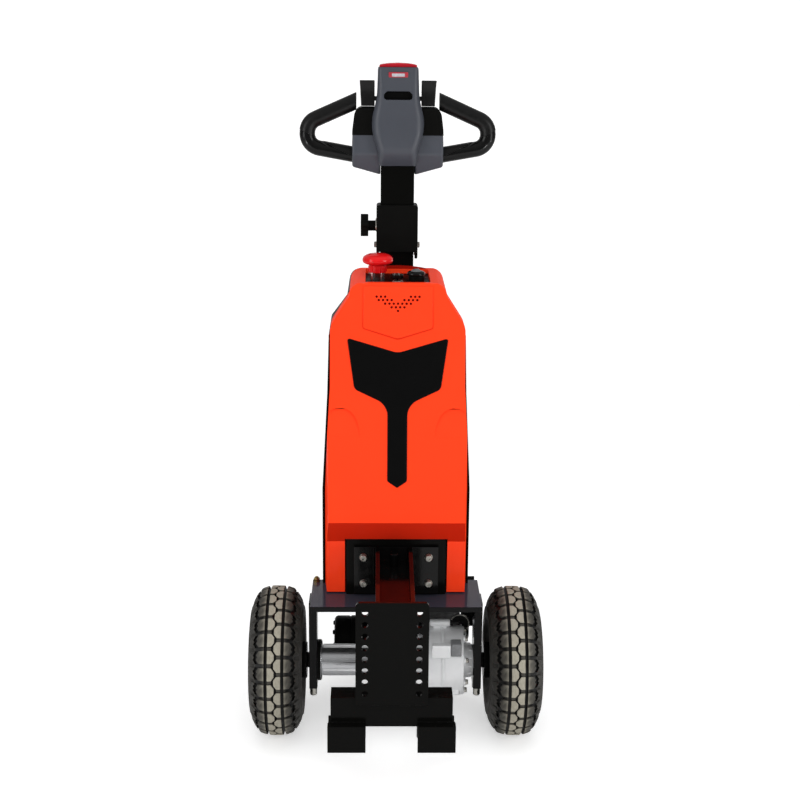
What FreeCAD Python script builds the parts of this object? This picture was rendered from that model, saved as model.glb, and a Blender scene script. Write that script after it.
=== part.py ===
"""Walk-behind electric tug: a parametric assembly of separate sub-parts, in millimetres.

The origin is on the floor under the middle of the drive axle.  +Z is up, -Y points to the hitch
and +Y to the person who walks behind the tiller.
"""
import FreeCAD, Part
import math
import os
import re

import Sketcher
from FreeCAD import Rotation, Vector

doc = FreeCAD.newDocument("walk_behind_electric_tug")
sheet = doc.addObject("Spreadsheet::Sheet", "sizes")

# ---------------------------------------------------------------- driving dimensions
SIZES = [
    # wheels and drive axle
    ("tyre_radius", 165, "drive tyre, 4.00-6"),
    ("tyre_width", 116, "widest part of the drive tyre"),
    ("crown_width", 48, "middle of the tread"),
    ("tread_width", 84, "tread at the foot of its crown"),
    ("tread_drop", 13, "crown down to the foot of the tread"),
    ("shoulder_width", 106, "tyre at its shoulders"),
    ("shoulder_fall", 31, "crown down to the shoulders"),
    ("tyre_shoulder", 50, "crown down to the widest part"),
    ("bead_width", 92, "tyre width at the rim"),
    ("wheel_track", 522, "between the tyre centres"),
    ("rim_radius", 80, "outside of the rim barrel"),
    ("rim_width", 88, "rim barrel"),
    ("rim_wall", 5, "rim sheet"),
    ("hub_radius", 40, "hub flange"),
    ("shaft_radius", 17, "drive shaft"),
    ("shaft_grip", 40, "shaft length inside the axle"),
    ("running_gap", 5, "between a wheel and the frame"),
    ("bearing_gap", 0.3, "radial play where a shaft turns"),
    # axle cradle
    ("cradle_width", 382, "over the legs"),
    ("cradle_plate_width", 372, "top plate, side to side"),
    ("cradle_depth", 164, "top plate, front to rear"),
    ("cradle_top", 324, "top plate above the floor"),
    ("cradle_plate", 12, "top plate thickness"),
    ("leg_plate", 18, "leg thickness"),
    ("leg_width", 60, "leg, front to rear"),
    ("leg_foot", 108, "underside of the legs"),
    ("clamp_bolt_radius", 8, "clamp bolts under the legs"),
    ("clamp_bolt_drop", 22, "bolt ends below the legs"),
    ("clamp_bolt_pitch", 36, "between the two bolts of a leg"),
    # axle, gear housing and motor
    ("axle_tube_radius", 34, "cast axle tube"),
    ("axle_flange_radius", 45, "flange of the tube at the cradle leg"),
    ("axle_flange", 9, "flange thickness"),
    ("housing_start", 68, "inner face of the gear housing"),
    ("housing_width", 82, "gear housing"),
    ("housing_radius", 76, "gear housing about the axle"),
    ("motor_lobe_radius", 62, "gear housing about the motor"),
    ("housing_cap_radius", 42, "bearing cover at the housing"),
    ("housing_cap_end_radius", 34, "bearing cover at the leg"),
    ("motor_radius", 54, "drive motor"),
    ("motor_length", 190, "drive motor"),
    ("motor_flange", 16, "bright flange of the motor"),
    ("motor_back", 110, "motor axis behind the axle"),
    ("motor_height", 168, "motor axis above the floor"),
    ("brake_cap_radius", 25, "parking brake"),
    ("brake_cap_width", 18, "parking brake"),
    ("brake_cap_back", 88, "parking brake axis behind the axle"),
    ("brake_cap_height", 205, "parking brake axis above the floor"),
    # chassis behind the axle
    ("body_width", 326, "over the side panels at their foot"),
    ("body_middle_width", 303, "over the side panels where they bend"),
    ("body_high_width", 296, "over the side panels at the shoulders"),
    ("body_neck_width", 224, "over the side panels above the shoulders"),
    ("body_rear", 313, "rear face of the machine"),
    ("floor_plate", 6, "chassis floor thickness"),
    ("battery_width", 230, "battery block"),
    ("battery_depth", 200, "battery block"),
    ("battery_height", 330, "battery block"),
    ("battery_front", 70, "battery block behind the axle"),
    # cover and panels
    ("cover_width", 286, "red cover at its shoulders"),
    ("cover_foot_width", 314, "rear edge of the cover at its foot"),
    ("lip_width", 292, "front lip of the cover, which its flanks widen from"),
    ("flare_drop", 215, "where the cover starts to widen below the hood's top"),
    ("flare_foot", 545, "where the cover has its full width"),
    ("cover_wall", 4, "moulded wall"),
    ("cover_depth", 60, "rear edge of the cover's flanks behind the axle"),
    ("hood_back", 212, "rear edge of the cover's hood behind the axle"),
    ("hood_skirt", 20, "hood from its top down to its rim"),
    ("panel_gap", 0.3, "between cover and panels"),
    ("cover_foot_gap", 3, "between cover and cradle"),
    ("lip_front", 70, "front lip of the cover ahead of the axle"),
    ("lip_height", 511, "front lip above the floor"),
    ("flank_top", 449, "where the cover's underside meets its flanks"),
    ("flank_front", 12, "front of the flanks ahead of the axle"),
    ("cowl_front", 10, "top front edge of the cover behind the axle"),
    ("cowl_height", 1015, "top of the cover"),
    ("shoulder_drop", 90, "foot of the shoulders below the hood's top"),
    ("neck_drop", 27, "foot of the neck below the hood's top"),
    ("shoulder_round", 40, "rounding of the shoulders"),
    ("hood_round", 26, "rounding of the hood's upper corners"),
    ("panel_bend_drop", 250, "bend of the side panels below the hood's top"),
    ("panel_shoulder_drop", 122, "shoulders of the side panels below the hood's top"),
    ("panel_neck_drop", 73, "neck of the side panels below the hood's top"),
    ("neck_width", 206, "cover at the neck"),
    ("rear_slope", 30, "lean of the rear face"),
    ("deck_drop", 12, "rear deck below the hood's top"),
    ("dash_drop", 10, "dashboard below the hood's top"),
    ("dash_front", 24, "front edge of the dashboard behind the axle"),
    ("dash_back", 196, "rear edge of the dashboard"),
    ("dash_width", 138, "dashboard"),
    ("dash_sheet", 4, "dashboard thickness"),
    ("pan_width", 218, "recess for the hitch"),
    ("pan_plate", 8, "recess back plate"),
    ("pan_top", 455, "top of the recess"),
    # hitch
    ("arm_offset", -5, "hitch arm to the left of the centre line"),
    ("hitch_offset", -11, "perforated plate and crossbar to the left of the centre line"),
    ("foot_plate_width", 184, "bolted plate of the hitch"),
    ("foot_plate_height", 108, "bolted plate of the hitch"),
    ("foot_plate", 10, "bolted plate thickness"),
    ("foot_plate_low", 330, "underside of the bolted plate"),
    ("foot_bolt_span", 142, "hitch bolts, side to side"),
    ("foot_bolt_rise", 60, "hitch bolts, one above the other"),
    ("foot_bolt_radius", 9, "heads of the hitch bolts"),
    ("foot_bolt_head", 8, "heads of the hitch bolts"),
    ("drop_pin_radius", 5, "drop pin in the shelf"),
    ("drop_pin_head_radius", 9, "head of the drop pin"),
    ("drop_pin_head", 28, "drop pin above the shelf"),
    ("drop_pin_back", 34, "drop pin ahead of the bolted plate"),
    ("rib_plate", 9, "side plates of the hitch arm"),
    ("rib_gap", 62, "between the side plates of the arm"),
    ("arm_top", 448, "arm at the machine"),
    ("arm_low", 345, "arm at the machine"),
    ("arm_nose_top", 418, "arm at the hitch plate"),
    ("arm_nose_low", 372, "arm at the hitch plate"),
    ("shelf_height", 408, "top of the shelf between the side plates"),
    ("hitch_plate", 9, "perforated plate thickness"),
    ("hitch_front", 300, "front of the perforated plate ahead of the axle"),
    ("hitch_plate_width", 148, "perforated plate"),
    ("hitch_plate_top", 422, "perforated plate"),
    ("hitch_plate_low", 200, "perforated plate"),
    ("hole_radius", 6.5, "height holes"),
    ("hole_pitch", 25, "height holes, one above the other"),
    ("hole_span", 110, "height holes, side to side"),
    ("hole_top", 400, "top row of height holes"),
    ("hole_rows", 8, "rows of height holes"),
    ("bar_height", 64, "crossbar"),
    ("bar_depth", 52, "crossbar, front to rear"),
    ("bar_length", 250, "crossbar"),
    ("bar_top", 212, "top of the crossbar"),
    ("saddle_width", 78, "saddle hooks"),
    ("saddle_plate", 8, "saddle hook plate"),
    ("saddle_front", 313, "front of the saddle hooks ahead of the axle"),
    ("saddle_top", 158, "top of the saddle hooks"),
    ("saddle_low", 100, "underside of the saddle hooks"),
    ("saddle_span", 262, "over both saddle hooks"),
    # caster
    ("caster_radius", 62.5, "swivel caster"),
    ("caster_width", 40, "swivel caster tyre"),
    ("caster_hub_radius", 44, "caster hub"),
    ("caster_trail", 38, "caster wheel ahead of its swivel"),
    ("caster_back", 240, "swivel axis behind the axle"),
    ("caster_bore", 6, "caster axle bolt"),
    ("fork_eye", 15, "fork cheeks about the caster axle"),
    ("fork_plate", 5, "fork sheet"),
    ("fork_gap", 56, "between the fork cheeks"),
    ("fork_top", 146, "top of the fork"),
    ("fork_head_radius", 40, "fork crown"),
    ("race_radius", 34, "swivel race"),
    ("race_height", 14, "swivel race"),
    ("kingpin_radius", 8, "swivel kingpin"),
    ("pedestal_width", 110, "box between race and floor"),
    ("pedestal_wall", 6, "box wall"),
    # tiller
    ("tiller_back", 240, "tiller behind the axle"),
    ("tilt_rise", 60, "tilt axis above the deck"),
    ("post_width", 74, "fixed tiller post"),
    ("post_depth", 32, "fixed tiller post"),
    ("pivot_radius", 7, "tilt pin"),
    ("pin_head", 5.3, "tilt pin past the sleeve"),
    ("cheek_plate", 6, "sleeve wall"),
    ("cheek_gap", 3, "between post and sleeve"),
    ("sleeve_rise", 91, "top of the sleeve above the tilt axis"),
    ("cheek_round", 31, "rounded foot of the sleeve's cheeks"),
    ("sleeve_front_drop", 13, "front wall of the sleeve below the tilt axis"),
    ("sleeve_rear_rise", 22, "rear wall of the sleeve above the tilt axis"),
    ("tube_depth", 40, "sliding tube, front to rear"),
    ("tube_wall", 3, "sliding tube"),
    ("tube_play", 0.4, "between sliding tube and sleeve"),
    ("tube_foot_rise", 30, "foot of the sliding tube above the tilt axis"),
    ("knob_rise", 42.5, "clamp knob above the tilt axis"),
    ("knob_hub_radius", 11.5, "clamp knob hub"),
    ("knob_hub_length", 18, "clamp knob hub"),
    ("knob_core_radius", 19, "clamp knob between its lobes"),
    ("knob_lobe_radius", 7.5, "lobes of the clamp knob"),
    ("knob_lobe_ring", 18.5, "centres of the lobes about the knob's axis"),
    ("knob_lobe_step", 72, "degrees from one lobe to the next"),
    ("knob_width", 17, "clamp knob"),
    # head
    ("head_low", 1240, "underside of the head"),
    ("head_height", 212, "head spine"),
    ("brow_rise", 150, "foot of the spine's top block above its underside"),
    ("waist_rise", 109, "top of the spine's widest part above its underside"),
    ("hip_rise", 76, "foot of the spine's widest part above its underside"),
    ("jaw_rise", 30, "where the spine turns under, above its underside"),
    ("spine_top_width", 88, "head spine at the top"),
    ("spine_brow_width", 92, "head spine under its top block"),
    ("spine_waist_width", 114, "head spine at its widest"),
    ("spine_low_width", 86, "head spine underside"),
    ("spine_top_front", 34, "top of the spine ahead of the tiller"),
    ("spine_front", 52, "head spine ahead of the tiller"),
    ("spine_back", 44, "head spine behind the tiller"),
    ("spine_top_back", 36, "top of the spine behind the tiller"),
    ("spine_foot", 27, "foot of the spine ahead of and behind the tiller"),
    ("ear_width", 200, "over the head's side bodies"),
    ("ear_foot_drop", 21, "side bodies beside the tiller, below the spine"),
    ("ear_low_drop", 3, "side bodies at their outer ends, below the spine"),
    ("ear_middle_rise", 50, "side bodies at their widest, above the spine's underside"),
    ("ear_high_rise", 118, "outer high corner of the side bodies"),
    ("ear_high_width", 190, "side bodies at their outer high corner"),
    ("ear_top_rise", 126, "top of the side bodies"),
    ("ear_top_width", 168, "side bodies at their top"),
    ("ear_root_rise", 100, "top of the side bodies at the spine"),
    ("ear_depth", 62, "side bodies, front to rear"),
    ("inset_side", 54, "black insets from the centre line"),
    ("inset_width", 41, "black insets"),
    ("inset_rise", 65, "underside of the black insets"),
    ("inset_height", 53, "black insets"),
    ("inset_sheet", 3, "black insets"),
    ("belly_width", 82, "belly switch"),
    ("belly_height", 9, "belly switch above the head"),
    ("belly_depth", 46, "belly switch"),
    ("grip_radius", 17.5, "hand loops"),
    ("grip_rise", 23, "start of a loop at the side body"),
    ("grip_low_side", 202, "outer low corner of a loop from the centre line"),
    ("grip_low_rise", 18, "outer low corner of a loop above its start"),
    ("grip_high_rise", 92, "outer high corner of a loop"),
    ("grip_high_side", 197, "outer high corner of a loop from the centre line"),
    ("grip_end_rise", 139, "free end of a loop"),
    ("grip_end_side", 91, "free end of a loop from the centre line"),
    ("grip_bend", 32, "bends of the loops"),
    ("paddle_side", 51, "throttle paddles from the centre line"),
    ("paddle_width", 33, "throttle paddles"),
    ("paddle_pin_radius", 5, "pin of the throttle paddles"),
    ("paddle_rise", 129, "throttle paddles"),
    ("paddle_height", 55, "throttle paddles"),
    ("paddle_depth", 26, "throttle paddles"),
    ("paddle_axis_rise", 16, "paddle pin above the paddles' underside"),
    # controls on the dashboard
    ("stop_radius", 33, "emergency stop button"),
    ("stop_cap", 27, "emergency stop button height"),
    ("stop_collar_radius", 19, "collar under the emergency stop button"),
    ("stop_collar", 17, "collar under the emergency stop button"),
    ("stop_post_radius", 5, "posts that carry the emergency stop"),
    ("stop_post_span", 20, "between the posts"),
    ("stop_post", 18, "posts that carry the emergency stop"),
    ("stop_side", 43, "emergency stop left of the centre line"),
    ("stop_back", 105, "emergency stop behind the axle"),
    ("gauge_radius", 17, "battery gauge"),
    ("gauge_height", 18, "battery gauge"),
    ("gauge_side", 40, "battery gauge right of the centre line"),
    ("key_radius", 12, "key switch"),
    ("key_height", 14, "key switch"),
    ("dial_back", 70, "gauge and key switch behind the axle"),
    # inlay on the cover
    ("inlay_sheet", 2, "black inlay"),
    ("inlay_top", 897, "upper corners of the inlay"),
    ("inlay_notch", 868, "notch of the inlay"),
    ("inlay_waist", 794, "lower corners of the inlay"),
    ("inlay_throat", 761, "where the stem starts"),
    ("inlay_foot", 600, "where the stem's point starts"),
    ("inlay_point", 587, "point of the stem"),
    ("inlay_width", 212, "inlay at its upper corners"),
    ("inlay_waist_width", 183, "inlay at its lower corners"),
    ("stem_width", 41, "stem of the inlay"),
]

ALIASES = {alias for alias, value, note in SIZES}
for row, (alias, value, note) in enumerate(SIZES, start=1):
    sheet.set("A%d" % row, note)
    sheet.set("B%d" % row, str(value))
    sheet.setAlias("B%d" % row, alias)
doc.recompute()


class Sizes:
    """Reads a named size back from the sheet."""

    def __getattr__(self, alias):
        return float(sheet.get(alias))


S = Sizes()
parts = []


# ---------------------------------------------------------------- helpers
def linked(expression):
    """Turn bare size names in an expression into references to the sheet."""
    def cell(match):
        word = match.group(0)
        return "sizes." + word if word in ALIASES else word
    return re.sub(r"[a-z_]+", cell, str(expression))


def bind(made, **properties):
    """Bind properties, written with __ for a dot, to expressions of the sheet."""
    for name, expression in properties.items():
        made.setExpression(name.replace("__", "."), linked(expression))
    return made


def place(made, x="0", y="0", z="0"):
    """Bind the place of an object."""
    return bind(made, Placement__Base__x=x, Placement__Base__y=y, Placement__Base__z=z)


def keep(made, label):
    """Name a finished sub-part and list it for export."""
    made.Label = label
    parts.append(made)
    return made


def box(x, y, z, width, depth, height):
    """A block from its low corner."""
    made = doc.addObject("Part::Box", "block")
    bind(made, Length=width, Width=depth, Height=height)
    return place(made, x, y, z)


def middle_box(x, y, z, width, depth, height):
    """A block centred on x."""
    return box("(%s) - (%s) / 2" % (x, width), y, z, width, depth, height)


TURNS = {
    "X": Rotation(Vector(0, 1, 0), 90),
    "Y": Rotation(Vector(1, 0, 0), -90),
    "Z": Rotation(),
}


def rod(axis, x, y, z, radius, length):
    """A cylinder from its low end along an axis."""
    made = doc.addObject("Part::Cylinder", "rod")
    made.Placement = FreeCAD.Placement(Vector(), TURNS[axis])
    bind(made, Radius=radius, Height=length)
    return place(made, x, y, z)


def cone(axis, x, y, z, radius, end_radius, length):
    """A cone from its low end along an axis."""
    made = doc.addObject("Part::Cone", "taper")
    made.Placement = FreeCAD.Placement(Vector(), TURNS[axis])
    bind(made, Radius1=radius, Radius2=end_radius, Height=length)
    return place(made, x, y, z)


def fuse(*solids):
    """One solid out of several."""
    made = doc.addObject("Part::MultiFuse", "joined")
    made.Shapes = list(solids)
    made.Refine = True
    return made


def cut(base, *tools):
    """A solid with others taken away."""
    made = doc.addObject("Part::Cut", "cut")
    made.Base = base
    made.Tool = tools[0] if len(tools) == 1 else fuse(*tools)
    made.Refine = True
    return made


def common(*solids):
    """What several solids share."""
    made = doc.addObject("Part::MultiCommon", "shared")
    made.Shapes = list(solids)
    made.Refine = True
    return made


def group(*solids):
    """Like solids that share a node and don't touch."""
    made = doc.addObject("Part::Compound", "set")
    made.Links = list(solids)
    return made


def sketch(body, role, offset, corners):
    """A closed outline on an origin plane, each corner tied to the sheet."""
    plane = next(item for item in body.Origin.OriginFeatures if item.Role == role)
    made = body.newObject("Sketcher::SketchObject", "outline")
    made.AttachmentSupport = [(plane, "")]
    made.MapMode = "FlatFace"
    bind(made, AttachmentOffset__Base__z=offset)
    count = len(corners)
    for index in range(count):
        angle = 2 * math.pi * index / count
        after = 2 * math.pi * (index + 1) / count
        made.addGeometry(Part.LineSegment(
            Vector(math.cos(angle), math.sin(angle), 0), Vector(math.cos(after), math.sin(after), 0)))
    for index in range(count):
        made.addConstraint(Sketcher.Constraint("Coincident", index, 2, (index + 1) % count, 1))
    for index, corner in enumerate(corners):
        for kind, expression in zip(("DistanceX", "DistanceY"), corner):
            number = made.addConstraint(Sketcher.Constraint(kind, -1, 1, index, 1, 1.0))
            made.setExpression("Constraints[%d]" % number, linked(expression))
    return made


def prism(role, offset, length, corners):
    """A body padded from an outline: YZ_Plane runs to +X, XZ_Plane to -Y, XY_Plane to +Z."""
    made = doc.addObject("PartDesign::Body", "body")
    outline = sketch(made, role, offset, corners)
    pad = made.newObject("PartDesign::Pad", "pad")
    pad.Profile = outline
    bind(pad, Length=length)
    return made


def round_edges(body, radius, wanted):
    """Round the edges of a body that a test picks out."""
    doc.recompute()
    base = body.Tip
    edges = []
    for number, edge in enumerate(base.Shape.Edges, start=1):
        if wanted(edge):
            edges.append("Edge%d" % number)
    fillet = body.newObject("PartDesign::Fillet", "round")
    fillet.Base = (base, edges)
    bind(fillet, Radius=radius)
    return body


def runs(edge, axis):
    """Whether a straight edge runs along an axis."""
    if not isinstance(edge.Curve, Part.Line):
        return False
    return abs(abs(edge.Curve.Direction.dot(axis)) - 1) < 1e-6


X_AXIS = Vector(1, 0, 0)
Y_AXIS = Vector(0, 1, 0)
Z_AXIS = Vector(0, 0, 1)
SIDES = (("left", "-1"), ("right", "1"))


def turned(corners):
    """A body turned about the X axis of its own frame."""
    made = doc.addObject("PartDesign::Body", "body")
    outline = sketch(made, "XY_Plane", "0", corners)
    turn = made.newObject("PartDesign::Revolution", "turn")
    turn.Profile = outline
    axis = next(item for item in made.Origin.OriginFeatures if item.Role == "X_Axis")
    turn.ReferenceAxis = (axis, [""])
    turn.Angle = 360
    return made


# ---------------------------------------------------------------- drive wheels
def drive_wheel(side, sign):
    """Tyre, rim and hub of one drive wheel; the hub carries its shaft into the axle."""
    centre = sign + " * wheel_track / 2"
    tyre = turned([
        ("-bead_width / 2", "rim_radius"),
        ("bead_width / 2", "rim_radius"),
        ("tyre_width / 2", "(rim_radius + tyre_radius) / 2 - tyre_shoulder / 4"),
        ("tyre_width / 2", "tyre_radius - tyre_shoulder"),
        ("shoulder_width / 2", "tyre_radius - shoulder_fall"),
        ("tread_width / 2", "tyre_radius - tread_drop"),
        ("crown_width / 2", "tyre_radius"),
        ("-crown_width / 2", "tyre_radius"),
        ("-tread_width / 2", "tyre_radius - tread_drop"),
        ("-shoulder_width / 2", "tyre_radius - shoulder_fall"),
        ("-tyre_width / 2", "tyre_radius - tyre_shoulder"),
        ("-tyre_width / 2", "(rim_radius + tyre_radius) / 2 - tyre_shoulder / 4"),
    ])
    keep(place(tyre, centre, "0", "tyre_radius"), "tyre_" + side)

    rim = turned([
        ("-rim_width / 2", "rim_radius - rim_wall"),
        ("-rim_wall / 2", "rim_radius - rim_wall"),
        ("-rim_wall / 2", "shaft_radius"),
        ("rim_wall / 2", "shaft_radius"),
        ("rim_wall / 2", "rim_radius - rim_wall"),
        ("rim_width / 2", "rim_radius - rim_wall"),
        ("rim_width / 2", "rim_radius"),
        ("-rim_width / 2", "rim_radius"),
    ])
    keep(place(rim, centre, "0", "tyre_radius"), "rim_" + side)

    inward = "-(" + sign + ")"
    start = "cradle_width / 2 + running_gap - wheel_track / 2"
    hub = turned([
        (sign + " * (cradle_width / 2 - leg_plate - shaft_grip - wheel_track / 2)", "0"),
        (sign + " * (cradle_width / 2 - leg_plate - shaft_grip - wheel_track / 2)", "shaft_radius"),
        (sign + " * (" + start + ")", "shaft_radius"),
        (sign + " * (" + start + ")", "hub_radius"),
        (inward + " * rim_wall / 2", "hub_radius"),
        (inward + " * rim_wall / 2", "shaft_radius"),
        (sign + " * rim_wall", "shaft_radius"),
        (sign + " * rim_wall * 2", "shaft_radius"),
        (sign + " * rim_wall * 2", "0"),
    ])
    keep(place(hub, centre, "0", "tyre_radius"), "hub_" + side)


# ---------------------------------------------------------------- axle cradle
def axle_cradle():
    """Plate with two legs that clamp the axle, and the bolts under the legs."""
    plate = middle_box("0", "-cradle_depth / 2", "cradle_top - cradle_plate",
                       "cradle_plate_width", "cradle_depth", "cradle_plate")
    solids = [plate]
    holes = []
    bolts = []
    for side, sign in SIDES:
        inner = "%s * (cradle_width / 2 - leg_plate / 2)" % sign
        solids.append(middle_box(inner, "-leg_width / 2", "leg_foot",
                                 "leg_plate", "leg_width", "cradle_top - cradle_plate - leg_foot"))
        holes.append(rod("X", inner + " - leg_plate", "0", "tyre_radius",
                         "shaft_radius + bearing_gap", "leg_plate * 2"))
        for row in ("-1", "1"):
            bolts.append(rod("Z", inner, row + " * clamp_bolt_pitch / 2",
                             "leg_foot - clamp_bolt_drop", "clamp_bolt_radius", "clamp_bolt_drop"))
    keep(cut(fuse(*solids), *holes), "axle_cradle")
    keep(group(*bolts), "cradle_bolts")


# ---------------------------------------------------------------- axle, housing and motor
def drive_unit():
    """Axle tube, gear housing, drive motor and parking brake."""
    inner_face = "(cradle_width / 2 - leg_plate)"
    tube = rod("X", "-" + inner_face, "0", "tyre_radius", "axle_tube_radius",
               inner_face + " + housing_start")
    flange = rod("X", "-" + inner_face, "0", "tyre_radius", "axle_flange_radius", "axle_flange")
    bore = rod("X", "-" + inner_face, "0", "tyre_radius", "shaft_radius + bearing_gap",
               "shaft_grip + running_gap")
    keep(cut(fuse(tube, flange), bore), "axle_tube")

    drum = rod("X", "housing_start", "0", "tyre_radius", "housing_radius", "housing_width")
    lobe = rod("X", "housing_start", "motor_back", "motor_height", "motor_lobe_radius",
               "housing_width")
    web = prism("YZ_Plane", "housing_start", "housing_width", [
        ("0", "tyre_radius - housing_radius"),
        ("motor_back", "motor_height - motor_lobe_radius"),
        ("motor_back", "motor_height + motor_lobe_radius"),
        ("0", "tyre_radius + housing_radius"),
    ])
    cap = cone("X", "housing_start + housing_width", "0", "tyre_radius", "housing_cap_radius",
               "housing_cap_end_radius", inner_face + " - housing_start - housing_width")
    bore = rod("X", inner_face + " - shaft_grip - running_gap", "0", "tyre_radius",
               "shaft_radius + bearing_gap", "shaft_grip + running_gap")
    keep(cut(fuse(drum, lobe, web, cap), bore), "gear_housing")

    flange = rod("X", "housing_start - motor_flange", "motor_back", "motor_height",
                 "motor_radius", "motor_flange")
    keep(flange, "motor_flange_ring")
    motor = rod("X", "housing_start - motor_flange - motor_length", "motor_back", "motor_height",
                "motor_radius", "motor_length")
    keep(motor, "drive_motor")
    brake = rod("X", "housing_start + housing_width", "brake_cap_back", "brake_cap_height",
                "brake_cap_radius", "brake_cap_width")
    keep(brake, "parking_brake")


# ---------------------------------------------------------------- chassis
def chassis():
    """Floor on the cradle, the box down to the caster and the battery block."""
    start = "(cover_wall + panel_gap)"
    lip_half = "(lip_width / 2 - " + start + ")"
    foot_half = "(cover_foot_width / 2 - " + start + ")"
    widening = "(" + start + " + lip_front) / (cover_depth + lip_front)"
    start_half = lip_half + " + (" + foot_half + " - " + lip_half + ") * " + widening
    front = prism("XY_Plane", "cradle_top", "floor_plate", both_sides([
        (start_half, start),
        (foot_half, "cover_depth"),
        (foot_half, "cover_depth + 2 * panel_gap"),
    ]))
    rear = middle_box("0", "cover_depth + panel_gap", "cradle_top", "body_width",
                      "body_rear - cover_depth - panel_gap", "floor_plate")
    keep(fuse(front, rear), "chassis_floor")

    race_top = "fork_top + race_height"
    outer = middle_box("0", "caster_back - pedestal_width / 2", race_top,
                       "pedestal_width", "pedestal_width", "cradle_top - (" + race_top + ")")
    inner = middle_box("0", "caster_back - pedestal_width / 2 + pedestal_wall",
                       race_top + " + pedestal_wall", "pedestal_width - 2 * pedestal_wall",
                       "pedestal_width - 2 * pedestal_wall", "cradle_top")
    keep(cut(outer, inner), "caster_pedestal")

    battery = middle_box("0", "battery_front", "cradle_top + floor_plate",
                         "battery_width", "battery_depth", "battery_height")
    keep(battery, "battery_block")


# ---------------------------------------------------------------- cover and panels
DECK_TOP = "(cowl_height - deck_drop)"
SHOULDER_FOOT = "(cowl_height - shoulder_drop)"
NECK_FOOT = "(cowl_height - neck_drop)"
DECK_WIDTH = "neck_width - 2 * hood_round"
BODY_REACH = "(body_width + body_middle_width + body_high_width + cover_foot_width)"


def both_sides(right):
    """An outline from its right half, mirrored in the centre line."""
    return right + [("-(%s)" % half, height) for half, height in reversed(right)]


def cover_outline(inset, low, top):
    """Front outline of the cover: widening flanks, narrowing shoulders and a neck."""
    foot = "cover_foot_width / 2 - %s" % inset
    half = "cover_width / 2 - %s" % inset
    neck = "neck_width / 2 - %s" % inset
    return both_sides([
        (foot, low),
        (foot, "flare_foot"),
        (half, "cowl_height - flare_drop"),
        (half, SHOULDER_FOOT),
        (neck, NECK_FOOT),
        (neck, top),
    ])


def panel_outline(inset, low, top):
    """Front outline of the side panels: wider at the foot, with shoulders and a neck."""
    foot = "body_width / 2 - %s" % inset
    return both_sides([
        (foot, low),
        (foot, "flare_foot"),
        ("body_middle_width / 2 - %s" % inset, "cowl_height - panel_bend_drop"),
        ("body_high_width / 2 - %s" % inset, "cowl_height - panel_shoulder_drop"),
        ("body_neck_width / 2 - %s" % inset, "cowl_height - panel_neck_drop"),
        ("neck_width / 2 - %s" % inset, top),
    ])


def rounded_panel_view(start, length, inset, low, top):
    """The side panels seen from the front, with rounded upper corners."""
    view = prism("XZ_Plane", start, length, panel_outline(inset, low, top))
    crown = S.cowl_height - S.deck_drop - 2 * S.cover_wall
    return round_edges(view, "hood_round - " + inset, lambda edge: runs(edge, Y_AXIS)
                       and edge.Vertexes[0].Z > crown)


def cover_plan(inset, low):
    """The cover seen from above: its flanks widen from the lip to their rear edge."""
    foot = "cover_foot_width / 2 - %s" % inset
    lip = "lip_width / 2 - %s" % inset
    right = [(lip, "-lip_front"), (foot, "cover_depth"), (foot, "hood_back")]
    return prism("XY_Plane", low, "cowl_height - (%s)" % low, both_sides(right))


def rounded_cover_view(inset, low, top):
    """The cover seen from the front, as deep as the machine, with rounded upper corners."""
    view = prism("XZ_Plane", "-hood_back - cover_wall", "hood_back + 2 * cover_wall + lip_front",
                 cover_outline(inset, low, top))
    crown = S.cowl_height - 2 * S.cover_wall
    shoulder = S.cowl_height - S.shoulder_drop
    round_edges(view, "hood_round - " + inset, lambda edge: runs(edge, Y_AXIS)
                and edge.Vertexes[0].Z > crown)
    return round_edges(view, "shoulder_round - " + inset, lambda edge: runs(edge, Y_AXIS)
                       and abs(edge.Vertexes[0].Z - shoulder) < S.cover_wall)


def front_cover():
    """Red moulded cover: leaning face, slanted underside, flanks, open arch and hood."""
    low = "cradle_top + cover_foot_gap"
    rim = "cowl_height - hood_skirt"
    outer_side = prism("YZ_Plane", "-cover_foot_width / 2", "cover_foot_width", [
        ("-lip_front", "lip_height"),
        ("-flank_front", "flank_top"),
        ("0", low),
        ("cover_depth", low),
        ("cover_depth", rim),
        ("hood_back", rim),
        ("hood_back", "cowl_height"),
        ("cowl_front", "cowl_height"),
    ])
    inner_side = prism("YZ_Plane", "-cover_foot_width / 2", "cover_foot_width", [
        ("cover_wall - lip_front", "lip_height"),
        ("cover_wall - flank_front", "flank_top + cover_wall"),
        ("cover_wall", low + " - cover_wall"),
        ("hood_back - cover_wall", low + " - cover_wall"),
        ("hood_back - cover_wall", "cowl_height - cover_wall"),
        ("cowl_front + cover_wall", "cowl_height - cover_wall"),
    ])
    outer = common(outer_side, rounded_cover_view("0", low, "cowl_height"), cover_plan("0", low))
    below = low + " - cover_wall"
    hollow = common(inner_side, rounded_cover_view("cover_wall", below, "cowl_height - cover_wall"),
                    cover_plan("cover_wall", below))
    dash_low = "cowl_height - dash_drop - dash_sheet"
    tub = middle_box("0", "dash_front - cover_wall", dash_low, "dash_width + 2 * cover_wall",
                     "dash_back - dash_front + 2 * cover_wall", "dash_drop + dash_sheet")
    well = middle_box("0", "dash_front", dash_low, "dash_width", "dash_back - dash_front",
                      "dash_drop + dash_sheet")
    arch = middle_box("0", "-lip_front", low + " - cover_wall", "pan_width + 2 * cover_foot_gap",
                      "lip_front + 2 * cover_wall", "pan_top + 2 * cover_foot_gap - (" + low + ")")
    keep(cut(outer, cut(hollow, tub), arch, well), "front_cover")


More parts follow.
